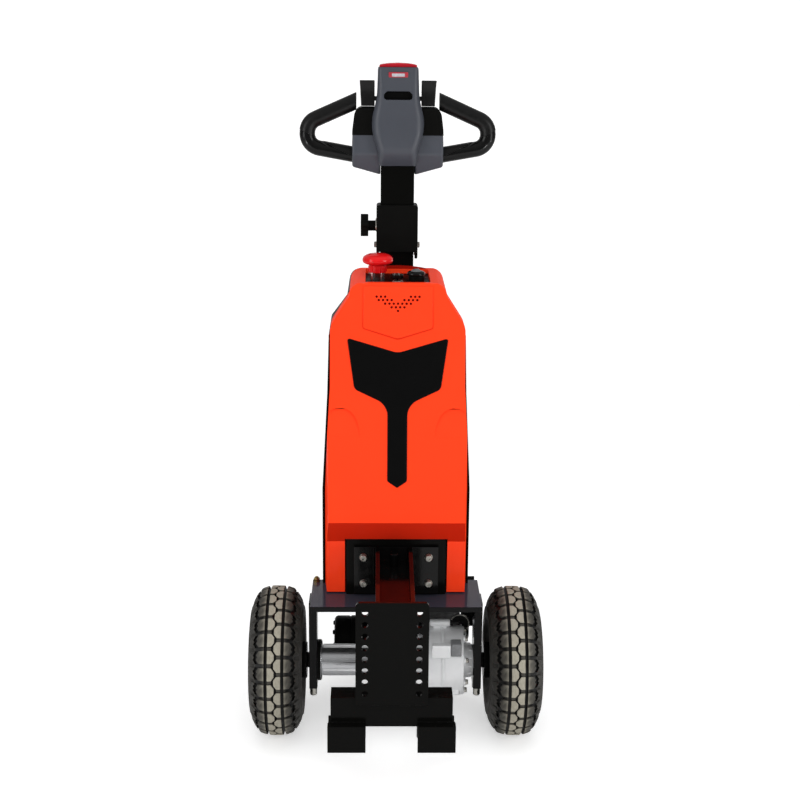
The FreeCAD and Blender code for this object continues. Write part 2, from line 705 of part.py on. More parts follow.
def side_panels():
    """Black side panels that stand out past the cover, with the rear panel between them."""
    low = "cradle_top + floor_plate"
    top = DECK_TOP
    front = "cover_depth + panel_gap"
    side_view = prism("YZ_Plane", "-" + BODY_REACH, "2 * " + BODY_REACH, [
        (front, low),
        ("body_rear - cover_wall", low),
        ("body_rear - cover_wall - rear_slope", top),
        (front, top),
    ])
    outer = rounded_panel_view("-body_rear", "body_rear", "0", low, top)
    inner = rounded_panel_view("-body_rear - cover_wall", "body_rear + 2 * cover_wall",
                               "cover_wall", low + " - cover_wall", top + " - cover_wall")
    bay = middle_box("0", "0", top + " - 2 * cover_wall", DECK_WIDTH, "body_rear",
                     "3 * cover_wall")
    rim = "cowl_height - hood_skirt - panel_gap"
    hood = common(rounded_cover_view("(-panel_gap)", low, "cowl_height"),
                  box("-" + BODY_REACH, "0", rim, "2 * " + BODY_REACH, "hood_back + panel_gap",
                      "hood_skirt + panel_gap"))
    shell = cut(common(side_view, outer), inner, bay, hood)
    for side, sign in SIDES:
        half = box("(%s - 1) / 2 * %s" % (sign, BODY_REACH), "0", low, BODY_REACH, "body_rear",
                   "cowl_height")
        keep(common(shell, half), "side_panel_" + side)

    rear = prism("YZ_Plane", "-" + BODY_REACH, "2 * " + BODY_REACH, [
        ("body_rear - cover_wall", low),
        ("body_rear", low),
        ("body_rear - rear_slope", top),
        ("body_rear - cover_wall - rear_slope", top),
    ])
    rear_view = rounded_panel_view("-body_rear", "body_rear", "0", low, top)
    keep(common(rear, rear_view), "rear_panel")


def deck():
    """Dashboard in the hood with its controls, and the deck that carries the tiller post."""
    dash_top = "cowl_height - dash_drop"
    dash = middle_box("0", "dash_front", dash_top + " - dash_sheet", "dash_width",
                      "dash_back - dash_front", "dash_sheet")
    keep(dash, "dashboard_panel")
    deck_front = "(hood_back + panel_gap)"
    plate = middle_box("0", deck_front, DECK_TOP + " - dash_sheet", DECK_WIDTH,
                       "body_rear - rear_slope - cover_wall - " + deck_front, "dash_sheet")
    keep(plate, "deck_plate")

    posts = []
    for side, sign in SIDES:
        posts.append(rod("Z", "%s * stop_post_span / 2 - stop_side" % sign, "stop_back", dash_top,
                         "stop_post_radius", "stop_post"))
    keep(group(*posts), "stop_button_stem")
    collar = rod("Z", "-stop_side", "stop_back", dash_top + " + stop_post", "stop_collar_radius",
                 "stop_collar")
    cap = rod("Z", "-stop_side", "stop_back", dash_top + " + stop_post + stop_collar",
              "stop_radius", "stop_cap")
    keep(fuse(collar, cap), "stop_button")
    gauge = rod("Z", "gauge_side", "dial_back", dash_top, "gauge_radius", "gauge_height")
    keep(gauge, "battery_gauge")
    key = rod("Z", "0", "dial_back", dash_top, "key_radius", "key_height")
    keep(key, "key_switch")


def inlay():
    """Black Y-shaped inlay that lies on the leaning face of the cover."""
    view = prism("XZ_Plane", "-cowl_front", "cowl_front + lip_front + 2 * inlay_sheet", [
        ("-inlay_width / 2", "inlay_top"),
        ("-inlay_waist_width / 2", "inlay_waist"),
        ("-stem_width / 2", "inlay_throat"),
        ("-stem_width / 2", "inlay_foot"),
        ("0", "inlay_point"),
        ("stem_width / 2", "inlay_foot"),
        ("stem_width / 2", "inlay_throat"),
        ("inlay_waist_width / 2", "inlay_waist"),
        ("inlay_width / 2", "inlay_top"),
        ("0", "inlay_notch"),
    ])
    skin = prism("YZ_Plane", "-inlay_width / 2", "inlay_width", [
        ("-lip_front", "lip_height"),
        ("cowl_front", "cowl_height"),
        ("cowl_front - inlay_sheet", "cowl_height"),
        ("-lip_front - inlay_sheet", "lip_height"),
    ])
    keep(common(view, skin), "front_inlay")


# ---------------------------------------------------------------- hitch
def hitch():
    """Recess plate, bolted arm, perforated plate and the crossbar with its saddle hooks."""
    pan = middle_box("0", "-pan_plate", "cradle_top", "pan_width", "pan_plate",
                     "pan_top - cradle_top")
    keep(pan, "hitch_recess")

    front = "-pan_plate - foot_plate"
    plate_back = "(hitch_plate - hitch_front)"
    foot = middle_box("0", front, "foot_plate_low", "foot_plate_width", "foot_plate",
                      "foot_plate_height")
    solids = [foot]
    for side, sign in SIDES:
        centre = "%s * (rib_gap + rib_plate) / 2" % sign
        solids.append(prism("YZ_Plane", "arm_offset + " + centre + " - rib_plate / 2",
                            "rib_plate", [
                                (front, "arm_top - rib_plate"),
                                (front, "arm_low"),
                                (plate_back, "arm_nose_low"),
                                (plate_back, "arm_nose_top"),
                                ("-lip_front", "arm_top - rib_plate"),
                            ]))
    shelf = middle_box("arm_offset", plate_back, "shelf_height - rib_plate", "rib_gap",
                       front + " - " + plate_back, "rib_plate")
    pin_back = front + " - drop_pin_back"
    hole = rod("Z", "arm_offset", pin_back, "shelf_height - rib_plate * 2",
               "drop_pin_radius + bearing_gap", "rib_plate * 3")
    keep(cut(fuse(shelf, *solids), hole), "hitch_arm")

    pin = rod("Z", "arm_offset", pin_back, "shelf_height - rib_plate * 2", "drop_pin_radius",
              "rib_plate * 2")
    head = rod("Z", "arm_offset", pin_back, "shelf_height", "drop_pin_head_radius",
               "drop_pin_head")
    keep(fuse(pin, head), "drop_pin")

    bolts = []
    for side, sign in SIDES:
        for row in ("-1", "1"):
            bolts.append(rod("Y", "%s * foot_bolt_span / 2" % sign,
                             front + " - foot_bolt_head",
                             "foot_plate_low + foot_plate_height / 2 + %s * foot_bolt_rise / 2" % row,
                             "foot_bolt_radius", "foot_bolt_head"))
    keep(group(*bolts), "hitch_bolts")

    plate = middle_box("hitch_offset", "-hitch_front", "hitch_plate_low", "hitch_plate_width",
                       "hitch_plate", "hitch_plate_top - hitch_plate_low")
    holes = []
    for row in range(int(S.hole_rows)):
        for side, sign in SIDES:
            holes.append(rod("Y", "hitch_offset + %s * hole_span / 2" % sign,
                             "-hitch_front", "hole_top - %d * hole_pitch" % row,
                             "hole_radius", "hitch_plate"))
    keep(cut(plate, *holes), "hitch_plate")

    solids = [middle_box("hitch_offset", plate_back, "bar_top - bar_height", "bar_length",
                         "bar_depth", "bar_height")]
    rear = plate_back + " + bar_depth - saddle_plate"
    for side, sign in SIDES:
        centre = "hitch_offset + %s * (saddle_span - saddle_width) / 2" % sign
        solids.append(middle_box(centre, "-saddle_front", "saddle_low", "saddle_width",
                                 "saddle_plate", "saddle_top - saddle_low"))
        solids.append(middle_box(centre, "-saddle_front", "saddle_top - saddle_plate",
                                 "saddle_width", "saddle_front + " + plate_back, "saddle_plate"))
        solids.append(middle_box(centre, rear, "saddle_low", "saddle_width", "saddle_plate",
                                 "bar_top - bar_height - saddle_low"))
    keep(fuse(*solids), "hitch_crossbar")


# ---------------------------------------------------------------- swivel caster
def caster():
    """Race under the pedestal, swivelling fork with kingpin, axle bolt, hub and tyre."""
    race = rod("Z", "0", "caster_back", "fork_top + bearing_gap", "race_radius",
               "race_height - bearing_gap")
    bore = rod("Z", "0", "caster_back", "fork_top", "kingpin_radius + bearing_gap", "race_height")
    keep(cut(race, bore), "caster_race")

    axle_back = "(caster_back - caster_trail)"
    crown = rod("Z", "0", "caster_back", "fork_top - fork_plate", "fork_head_radius", "fork_plate")
    kingpin = rod("Z", "0", "caster_back", "fork_top - fork_plate", "kingpin_radius",
                  "fork_plate + race_height - 2 * bearing_gap")
    solids = [crown, kingpin]
    for side, sign in SIDES:
        start = "%s * (fork_gap + fork_plate) / 2 - fork_plate / 2" % sign
        solids.append(prism("YZ_Plane", start, "fork_plate", [
            ("caster_back - fork_head_radius / 2", "fork_top - fork_plate / 2"),
            (axle_back + " - fork_eye", "caster_radius + fork_eye / 2"),
            (axle_back + " - fork_eye / 2", "caster_radius - fork_eye"),
            (axle_back + " + fork_eye / 2", "caster_radius - fork_eye"),
            ("caster_back + fork_head_radius / 2", "fork_top - fork_plate / 2"),
        ]))
    reach = "fork_gap + 2 * fork_plate"
    hole = rod("X", "-(%s) / 2" % reach, axle_back, "caster_radius", "caster_bore", reach)
    keep(cut(fuse(*solids), hole), "caster_fork")
    bolt = rod("X", "-(%s) / 2 - fork_plate" % reach, axle_back, "caster_radius", "caster_bore",
               reach + " + 2 * fork_plate")
    keep(bolt, "caster_axle")

    tyre = rod("X", "-caster_width / 2", axle_back, "caster_radius", "caster_radius",
               "caster_width")
    seat = rod("X", "-caster_width / 2", axle_back, "caster_radius", "caster_hub_radius",
               "caster_width")
    keep(cut(tyre, seat), "caster_tyre")
    hub = rod("X", "-caster_width / 2", axle_back, "caster_radius", "caster_hub_radius",
              "caster_width")
    bore = rod("X", "-caster_width / 2", axle_back, "caster_radius", "caster_bore + bearing_gap",
               "caster_width")
    keep(cut(hub, bore), "caster_hub")


# ---------------------------------------------------------------- tiller
TILT_AXIS = "(cowl_height - deck_drop + tilt_rise)"


def tiller():
    """Fixed post, tilting sleeve with pin and clamp knob, and the tube that slides in it."""
    post = middle_box("0", "tiller_back - post_depth / 2", DECK_TOP, "post_width",
                      "post_depth", "tilt_rise")
    crown = rod("X", "-post_width / 2", "tiller_back", TILT_AXIS, "post_depth / 2",
                "post_width")
    bore = rod("X", "-post_width / 2", "tiller_back", TILT_AXIS, "pivot_radius + bearing_gap",
               "post_width")
    keep(cut(fuse(post, crown), bore), "tiller_post")

    inner = "(post_width + 2 * cheek_gap)"
    outer = "(%s + 2 * cheek_plate)" % inner
    bay = "(tube_depth + 2 * tube_play)"
    depth = "(%s + 2 * cheek_plate)" % bay
    front = "tiller_back - %s / 2" % depth
    block = middle_box("0", front, TILT_AXIS + " - sleeve_front_drop", outer, depth,
                       "sleeve_rise + sleeve_front_drop")
    cheeks = rod("X", "-%s / 2" % outer, "tiller_back", TILT_AXIS, "cheek_round", outer)
    fork = middle_box("0", "tiller_back - %s / 2" % bay, TILT_AXIS + " - cheek_round", inner,
                      bay + " + cheek_round", "cheek_round + sleeve_rear_rise")
    under = middle_box("0", "tiller_back - cheek_round", TILT_AXIS + " - cheek_round", inner,
                       "2 * cheek_round", "cheek_round - sleeve_front_drop")
    slot = middle_box("0", "tiller_back - %s / 2" % bay, TILT_AXIS + " - cheek_round",
                      "post_width + 2 * tube_play", bay, "sleeve_rise + cheek_round")
    eye = rod("X", "-%s / 2" % outer, "tiller_back", TILT_AXIS, "pivot_radius", outer)
    trim = middle_box("0", front, TILT_AXIS + " - cheek_round", outer, depth,
                      "sleeve_rise + cheek_round")
    keep(cut(common(fuse(block, cheeks), trim), fork, under, slot, eye), "tiller_sleeve")
    pin = rod("X", "-%s / 2 - pin_head" % outer, "tiller_back", TILT_AXIS, "pivot_radius",
              outer + " + 2 * pin_head")
    keep(pin, "tiller_pin")

    knob_height = TILT_AXIS + " + knob_rise"
    hub_start = "-%s / 2 - knob_hub_length" % outer
    solids = [
        rod("X", hub_start, "tiller_back", knob_height, "knob_hub_radius", "knob_hub_length"),
        rod("X", hub_start + " - knob_width", "tiller_back", knob_height, "knob_core_radius",
            "knob_width"),
    ]
    for lobe in range(5):
        turn = "(%d * knob_lobe_step)" % lobe
        solids.append(rod("X", hub_start + " - knob_width",
                          "tiller_back + knob_lobe_ring * sin(%s)" % turn,
                          knob_height + " + knob_lobe_ring * cos(%s)" % turn,
                          "knob_lobe_radius", "knob_width"))
    keep(fuse(*solids), "clamp_knob")

    tube_foot = TILT_AXIS + " + tube_foot_rise"
    tube = middle_box("0", "tiller_back - tube_depth / 2", tube_foot, "post_width", "tube_depth",
                      "head_low - (%s)" % tube_foot)
    core = middle_box("0", "tiller_back - tube_depth / 2 + tube_wall", tube_foot,
                      "post_width - 2 * tube_wall", "tube_depth - 2 * tube_wall",
                      "head_low - (%s)" % tube_foot)
    keep(cut(tube, core), "tiller_tube")


# ---------------------------------------------------------------- head
def rounded_path(corners, radius):
    """A wire of straight runs joined by tangent arcs."""
    edges = []
    start = corners[0]
    for before, corner, after in zip(corners, corners[1:], corners[2:]):
        back = (before - corner).normalize()
        ahead = (after - corner).normalize()
        half_turn = (math.pi - back.getAngle(ahead)) / 2
        reach = radius * math.tan(half_turn)
        arc_start = corner + back * reach
        arc_end = corner + ahead * reach
        middle = (back + ahead).normalize()
        arc_middle = corner + middle * (radius / math.cos(half_turn) - radius)
        edges.append(Part.LineSegment(start, arc_start).toShape())
        edges.append(Part.Arc(arc_start, arc_middle, arc_end).toShape())
        start = arc_end
    edges.append(Part.LineSegment(start, corners[-1]).toShape())
    return Part.Wire(edges)


def hand_loop(side, sign):
    """Bent tube of one hand loop, from the side body round to its free end."""
    start = Vector(S.ear_width / 2, S.tiller_back, S.head_low + S.grip_rise)
    low = Vector(S.grip_low_side, S.tiller_back, S.head_low + S.grip_rise + S.grip_low_rise)
    high = Vector(S.grip_high_side, S.tiller_back, S.head_low + S.grip_high_rise)
    end = Vector(S.grip_end_side, S.tiller_back, S.head_low + S.grip_end_rise)
    reach = X_AXIS * 2 * S.grip_radius
    first = start - (low - start) * (reach.Length / (low - start).Length)
    last = end + (end - high) * (reach.Length / (end - high).Length)
    corners = [Vector(float(sign) * point.x, point.y, point.z)
               for point in (first, low, high, last)]
    path = doc.addObject("Part::Feature", "path")
    path.Shape = rounded_path(corners, S.grip_bend)
    ring = doc.addObject("Part::Circle", "section")
    ring.Placement = FreeCAD.Placement(corners[0], Rotation(Z_AXIS, corners[1] - corners[0]))
    bind(ring, Radius="grip_radius")
    loop = doc.addObject("Part::Sweep", "loop")
    loop.Sections = [ring]
    loop.Spine = (path, ["Edge%d" % (number + 1) for number in range(len(path.Shape.Edges))])
    loop.Solid = True
    below = box("%s * ear_width / 2 - (1 - (%s)) / 2 * ear_width" % (sign, sign),
                "tiller_back - ear_depth", "head_low + grip_rise - ear_depth", "ear_width",
                "2 * ear_depth", "(grip_high_rise - grip_rise) / 2 + ear_depth")
    above = box("%s * grip_end_side - (1 - (%s)) / 2 * ear_width" % (sign, sign),
                "tiller_back - ear_depth", "head_low + (grip_rise + grip_high_rise) / 2", "ear_width",
                "2 * ear_depth", "grip_end_rise - grip_rise + ear_depth")
    return keep(common(loop, fuse(below, above)), "hand_loop_" + side)


def head():
    """Spine, side bodies with their insets, belly switch and throttle paddles."""
    right = [
        ("spine_low_width / 2", "head_low"),
        ("spine_low_width / 2", "head_low + jaw_rise"),
        ("spine_waist_width / 2", "head_low + hip_rise"),
        ("spine_waist_width / 2", "head_low + waist_rise"),
        ("spine_brow_width / 2", "head_low + brow_rise"),
        ("spine_top_width / 2", "head_low + head_height"),
    ]
    front_view = prism("XZ_Plane", "-tiller_back - spine_back", "spine_back + spine_front",
                       both_sides(right))
    side_view = prism("YZ_Plane", "-spine_waist_width / 2", "spine_waist_width", [
        ("tiller_back - spine_foot", "head_low"),
        ("tiller_back - spine_front", "head_low + jaw_rise"),
        ("tiller_back - spine_front", "head_low + waist_rise"),
        ("tiller_back - spine_top_front", "head_low + head_height"),
        ("tiller_back + spine_top_back", "head_low + head_height"),
        ("tiller_back + spine_back", "head_low + waist_rise"),
        ("tiller_back + spine_foot", "head_low"),
    ])
    spine = common(front_view, side_view)
    keep(spine, "head_spine")

    shaft = middle_box("0", "tiller_back - ear_depth", "head_low - ear_foot_drop - ear_depth",
                       "post_width + 2 * bearing_gap", "2 * ear_depth", "2 * ear_depth")
    ears = []
    insets = []
    for side, sign in SIDES:
        ear = prism("XZ_Plane", "-tiller_back - ear_depth / 2", "ear_depth", [
            (sign + " * post_width / 2", "head_low - ear_foot_drop"),
            (sign + " * ear_width / 2", "head_low - ear_low_drop"),
            (sign + " * ear_width / 2", "head_low + ear_middle_rise"),
            (sign + " * ear_high_width / 2", "head_low + ear_high_rise"),
            (sign + " * ear_top_width / 2", "head_low + ear_top_rise"),
            (sign + " * post_width / 2", "head_low + ear_root_rise"),
        ])
        ears.append(cut(ear, spine, shaft, hand_loop(side, sign)))
        centre = sign + " * (inset_side + inset_width / 2)"
        insets.append(cut(middle_box(centre, "tiller_back - ear_depth / 2 - inset_sheet",
                                     "head_low + inset_rise", "inset_width", "inset_sheet", "inset_height"),
                          spine))
    keep(group(*ears), "head_side_bodies")
    keep(group(*insets), "head_insets")

    belly = middle_box("0", "tiller_back - belly_depth / 2", "head_low + head_height", "belly_width",
                       "belly_depth", "belly_height")
    keep(belly, "belly_switch")

    for side, sign in SIDES:
        blade = middle_box(sign + " * (paddle_side + paddle_width / 2)",
                           "tiller_back - paddle_depth", "head_low + paddle_rise", "paddle_width",
                           "paddle_depth", "paddle_height")
        start = "(%s - 1) / 2 * paddle_side" % sign
        pin = rod("X", start, "tiller_back - paddle_depth / 2", "head_low + paddle_rise + paddle_axis_rise",
                  "paddle_pin_radius", "paddle_side")
        keep(cut(fuse(blade, pin), spine), "throttle_paddle_" + side)


# ---------------------------------------------------------------- build, check and export
for side, sign in SIDES:
    drive_wheel(side, sign)
axle_cradle()
drive_unit()
chassis()
front_cover()
side_panels()
deck()
inlay()
hitch()
caster()
tiller()
head()

doc.recompute()
for item in doc.Objects:
    if "Invalid" in item.State or "Error" in item.State:
        raise RuntimeError("%s (%s) failed: %s" % (item.Name, item.Label, item.State))
os.makedirs("parts", exist_ok=True)
for part in parts:
    shape = part.Shape
    if shape.isNull() or not shape.isValid():
        raise RuntimeError(part.Label + " has no valid shape")
    shape.exportStep("parts/%s.step" % part.Label)
    print("%-22s %2d solid(s) %10.0f mm3" % (part.Label, len(shape.Solids), shape.Volume))
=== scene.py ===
# %% [markdown]
# # A walk-behind electric tug
#
# The machine arrives already built: every plate, axle and cover stands at its real size and place.
# This lesson gives it its looks.  Hard edges get their small roundings, the tyres get their tread,
# the moulded cover gets its pockets and vents, and each surface gets a finish of its own.
# Materials, lamps and the sweep are measured in metres, and `mm` turns millimetres into metres.

# %% Load the machine
import math
import random

import bmesh
import bpy
from mathutils import Matrix, Vector


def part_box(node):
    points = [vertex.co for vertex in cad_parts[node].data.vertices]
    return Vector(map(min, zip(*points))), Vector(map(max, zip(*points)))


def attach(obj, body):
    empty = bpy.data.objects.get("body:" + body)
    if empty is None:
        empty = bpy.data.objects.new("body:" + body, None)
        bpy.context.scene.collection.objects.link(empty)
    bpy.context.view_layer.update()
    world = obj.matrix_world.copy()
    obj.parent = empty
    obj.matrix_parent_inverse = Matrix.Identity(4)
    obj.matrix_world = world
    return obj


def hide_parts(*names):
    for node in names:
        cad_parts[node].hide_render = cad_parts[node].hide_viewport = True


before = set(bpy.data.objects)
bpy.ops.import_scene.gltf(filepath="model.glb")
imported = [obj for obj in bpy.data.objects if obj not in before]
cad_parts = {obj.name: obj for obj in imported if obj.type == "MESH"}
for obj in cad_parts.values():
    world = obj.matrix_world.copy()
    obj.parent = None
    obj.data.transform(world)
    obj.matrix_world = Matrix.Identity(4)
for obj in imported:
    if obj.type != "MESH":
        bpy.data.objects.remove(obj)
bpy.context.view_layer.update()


METRE = 1000


def mm(*lengths):
    """Millimetres as metres: one number or vector, or a vector from three numbers."""
    if len(lengths) == 1:
        return lengths[0] / METRE
    return Vector(lengths) / METRE


X = Vector((1, 0, 0))
Y = Vector((0, 1, 0))
Z = Vector((0, 0, 1))
SIDES = (("left", -1), ("right", 1))

# %% [markdown]
# ## The camera
#
# The machine is seen from the hitch side, a little from above, through a longish lens from three
# metres away.  A long lens keeps the upright lines nearly parallel.  The place, the tilt and the
# turn are plain numbers, so the view is the same on every run.

# %% Set the camera
lens = bpy.data.cameras.new("studio_camera")
lens.sensor_width = 36
lens.lens = 66.29
camera = bpy.data.objects.new("studio_camera", lens)
camera.location = mm(-49, -3049, 1541)
turn = Matrix.Rotation(math.radians(-1.03), 3, "Z")
tilt = Matrix.Rotation(math.radians(90 - 14.29), 3, "X")
lean = Matrix.Rotation(math.radians(0.49), 3, "Z")
camera.rotation_euler = (turn @ tilt @ lean).to_euler()
bpy.context.scene.collection.objects.link(camera)
bpy.context.scene.camera = camera
print("camera at", tuple(round(value, 3) for value in camera.location))


# %% [markdown]
# ## The studio
#
# The machine stands on a white sweep: a floor that turns up into a wall without a corner.  One
# large lamp overhead, one in front and two at the sides give soft light, and long soft highlights
# on glossy paint.  Three small low lamps add the white sparkles on rounded corners.  The floor is
# white where the camera looks at it, apart from the machine's shadow.


# %% A small language for materials
class Value:
    """A number that varies over a surface: an expression on values adds its Math nodes."""

    def __init__(self, finish, socket):
        self.finish = finish
        self.socket = socket

    def combined(self, operation, first, second):
        node = self.finish.node("Math", {0: first, 1: second}, operation=operation)
        return Value(self.finish, node.outputs[0])

    def __add__(self, other):
        return self.combined("ADD", self, other)

    def __sub__(self, other):
        return self.combined("SUBTRACT", self, other)

    def __rsub__(self, other):
        return self.combined("SUBTRACT", other, self)

    def __mul__(self, other):
        return self.combined("MULTIPLY", self, other)

    def __truediv__(self, other):
        return self.combined("DIVIDE", self, other)

    def __pow__(self, other):
        return self.combined("POWER", self, other)

    def between(self, low, high, from_value=0.0, to_value=1.0):
        """Fade from one number to another as the value runs from low to high."""
        node = self.finish.node("MapRange", {
            "Value": self, "From Min": low, "From Max": high, "To Min": from_value,
            "To Max": to_value}, interpolation_type="SMOOTHSTEP")
        return Value(self.finish, node.outputs["Result"])

    def size(self):
        """The value without its sign."""
        return self.combined("ABSOLUTE", self, 0.0)


class Tree:
    """The nodes of a material or of the world."""

    def __init__(self, owner):
        owner.use_nodes = True
        self.tree = owner.node_tree

    def node(self, kind, inputs, **settings):
        """Add a node: its settings first, then the values or links of its sockets."""
        node = self.tree.nodes.new("ShaderNode" + kind)
        for name, setting in settings.items():
            setattr(node, name, setting)
        for name, given in inputs.items():
            self.feed(node.inputs[name], given)
        return node

    def feed(self, socket, given):
        """Link a value or socket, or set a plain number or colour."""
        given = given.socket if isinstance(given, Value) else given
        if isinstance(given, bpy.types.NodeSocket):
            self.tree.links.new(given, socket)
        else:
            socket.default_value = given


class Finish(Tree):
    """A procedural material around one Principled shader."""

    def __init__(self, name, **constants):
        self.material = bpy.data.materials.new(name)
        super().__init__(self.material)
        self.shader = self.tree.nodes["Principled BSDF"]
        self.wears(**constants)

    def wears(self, **sockets):
        """Feed the shader's sockets, with constants or with what changes over the surface."""
        for socket, given in sockets.items():
            self.feed(self.shader.inputs[socket.replace("_", " ")], given)

    def place(self):
        """Object coordinates, in metres."""
        return self.node("TexCoord", {}).outputs["Object"]

    def along(self, axis):
        """One object coordinate as a value."""
        node = self.node("SeparateXYZ", {0: self.place()})
        return Value(self, node.outputs["XYZ".index(axis)])

    def noise(self, scale, detail=2.0, roughness=0.5, stretch=(1, 1, 1)):
        """Cloudy variation from 0 to 1 with features about 1/scale metres wide."""
        stretched = self.node("Mapping", {"Vector": self.place(), "Scale": stretch}).outputs[0]
        node = self.node("TexNoise", {"Vector": stretched, "Scale": scale, "Detail": detail,
                                      "Roughness": roughness})
        return Value(self, node.outputs["Fac"])

    def cells(self, scale, feature="F1"):
        """Distance to the nearest of scattered points."""
        node = self.node("TexVoronoi", {"Vector": self.place(), "Scale": scale}, feature=feature)
        return Value(self, node.outputs["Distance"])

    def facing_up(self):
        """1 where the surface faces the sky, 0 where it is upright, less where it faces down."""
        normal = self.node("NewGeometry", {}).outputs["Normal"]
        return Value(self, self.node("SeparateXYZ", {0: normal}).outputs["Z"])

    def mix(self, first, second, mask):
        """One colour fading into another where the mask rises."""
        return self.node("Mix", {0: mask, 6: first, 7: second}, data_type="RGBA").outputs[2]

    def bump(self, height, distance, strength=1.0):
        """Raise the surface by a height of at most `distance` metres, and give the material."""
        relief = self.node("Bump", {"Height": height, "Distance": distance, "Strength": strength})
        self.wears(Normal=relief.outputs[0])
        return self.material


def shade(red, green, blue):
    """A colour as it looks, 0 to 255, as the linear colour that a shader takes."""
    def linear(part):
        part = part / 255
        return part / 12.92 if part <= 0.04045 else ((part + 0.055) / 1.055) ** 2.4
    return (linear(red), linear(green), linear(blue), 1.0)


# %% Build the sweep and the lamps
def studio_white():
    """White paper that shows white to the camera, but keeps shadows."""
    finish = Finish("studio_white", Roughness=0.85)
    fibres = finish.noise(40, 4)
    finish.wears(Base_Color=finish.mix(shade(246, 246, 246), shade(250, 250, 250), fibres))
    plain = finish.shader.outputs[0]
    glow = finish.node("Emission", {"Strength": 0.42}).outputs[0]
    both = finish.node("AddShader", {0: plain, 1: glow}).outputs[0]
    seen = finish.node("LightPath", {}).outputs["Is Camera Ray"]
    chosen = finish.node("MixShader", {0: seen, 1: plain, 2: both}).outputs[0]
    finish.feed(finish.tree.nodes["Material Output"].inputs["Surface"], chosen)
    return finish.material


def sweep():
    """Floor and wall in one sheet, from a bent line pulled sideways."""
    floor_start, floor_end, wall_top = -4.0, 3.0, 2.0
    bend = 0.9
    steps = 16
    line = [(floor_start, 0.0)]
    for angle in (math.pi / 2 * step / steps for step in range(steps + 1)):
        line.append((floor_end + bend * math.sin(angle), bend * (1 - math.cos(angle))))
    line.append((floor_end + bend, wall_top))
    bm = bmesh.new()
    verts = [bm.verts.new((-6, y, z)) for y, z in line]
    edges = [bm.edges.new(pair) for pair in zip(verts, verts[1:])]
    pulled = bmesh.ops.extrude_edge_only(bm, edges=edges)["geom"]
    bmesh.ops.translate(bm, vec=X * 12,
                        verts=[item for item in pulled if isinstance(item, bmesh.types.BMVert)])
    bmesh.ops.recalc_face_normals(bm, faces=bm.faces)
    mesh = bpy.data.meshes.new("studio_sweep")
    bm.to_mesh(mesh)
    bm.free()
    mesh.shade_smooth()
    mesh.materials.append(studio_white())
    floor = bpy.data.objects.new("studio_sweep", mesh)
    bpy.context.scene.collection.objects.link(floor)


def lamp(name, place, aim, size, power, mirrored=True):
    """A soft rectangular lamp that faces a point, seen in glossy paint or not."""
    light = bpy.data.lights.new(name, "AREA")
    light.shape = "RECTANGLE"
    light.size, light.size_y = size
    light.energy = power
    rig = bpy.data.objects.new(name, light)
    rig.location = place
    rig.rotation_euler = (Vector(aim) - Vector(place)).to_track_quat("-Z", "Y").to_euler()
    rig.visible_glossy = mirrored
    bpy.context.scene.collection.objects.link(rig)


sweep()
lamp("overhead_softbox", (0, -0.6, 3.4), (0, 0, 0.4), (3.2, 2.6), 24, False)
lamp("left_softbox", (-3.0, -2.0, 1.7), (0, 0, 0.7), (1.6, 2.6), 42)
lamp("right_softbox", (3.0, -2.0, 1.7), (0, 0, 0.7), (1.6, 2.6), 42)
lamp("front_softbox", (0, -4.2, 2.6), (0, 0, 0.6), (2.6, 1.2), 33, False)
lamp("left_sparkle", (-1.7, -1.9, 0.3), (0, 0, 0.9), (0.2, 0.2), 6)
lamp("right_sparkle", (1.25, -2.1, 0.3), (0, 0, 0.9), (0.2, 0.2), 6)
lamp("far_right_sparkle", (2.3, -1.1, 0.5), (0, 0, 0.9), (0.2, 0.2), 5)

# The air is dim near the floor, brighter overhead and white to the camera.
bpy.context.scene.world = bpy.data.worlds.new("studio_air")
air = Tree(bpy.context.scene.world)
height = air.node("SeparateXYZ", {0: air.node("TexCoord", {}).outputs["Generated"]})
dome = air.node("MapRange", {"Value": height.outputs["Z"], "From Min": 0.05, "From Max": 0.75,
                             "To Min": 0.22, "To Max": 0.5})
seen = air.node("LightPath", {}).outputs["Is Camera Ray"]
level = air.node("Mix", {"Factor": seen, "A": dome.outputs["Result"], "B": 1.0})
background = air.tree.nodes["Background"]
air.feed(background.inputs["Strength"], level.outputs["Result"])
air.feed(background.inputs["Color"], (1, 1, 1, 1))
bpy.context.scene.view_settings.view_transform = "Standard"

# %% [markdown]
# ## Finishes
#
# Real surfaces are never one flat colour.  Paint has a faint orange peel and a clear gloss over it,
# castings have the grain of the sand they were poured in, turned steel has fine rings, and rubber
# carries pale dust where it meets the ground.  Each finish below is one function, named for what
# it covers, and varies its colour, its roughness and its surface a little.


# %% Paints and mouldings
def mottled(name, tint, share, clouds, grain, gloss, relief, **constants):
    """A tint that drifts to a darker share of itself, with a varying gloss and a fine relief.

    Clouds, grain and relief are noises, and the relief's last number is its height in metres.
    """
    finish = Finish(name, **constants)
    dark = shade(*(part * share for part in tint))
    finish.wears(Base_Color=finish.mix(dark, shade(*tint), finish.noise(*clouds)),
                 Roughness=finish.noise(*grain).between(0.3, 0.7, *gloss))
    return finish.bump(finish.noise(*relief[:-1]), relief[-1])


def moulded_red(name="moulded_red", deep=(250, 60, 28), bright=(255, 68, 32)):
    """Glossy orange-red moulded cover, with painted shade: a deeper red on faces that look down."""
    finish = Finish(name, Specular_IOR_Level=0.0, Coat_Weight=0.14, Coat_Roughness=0.04)
    # Painted shade: faces that look down fade to a deep, dark red.
    under = finish.facing_up().between(-0.7, -0.3, 1.0, 0.0)
    skin = finish.mix(shade(*deep), shade(*bright), finish.noise(3.0, 3))
    finish.wears(Base_Color=finish.mix(skin, shade(196, 30, 12), under * 0.8),
                 Roughness=finish.noise(60, 3).between(0.3, 0.7, 0.2, 0.27))
    return finish.bump(finish.noise(420, 2), 0.00004)


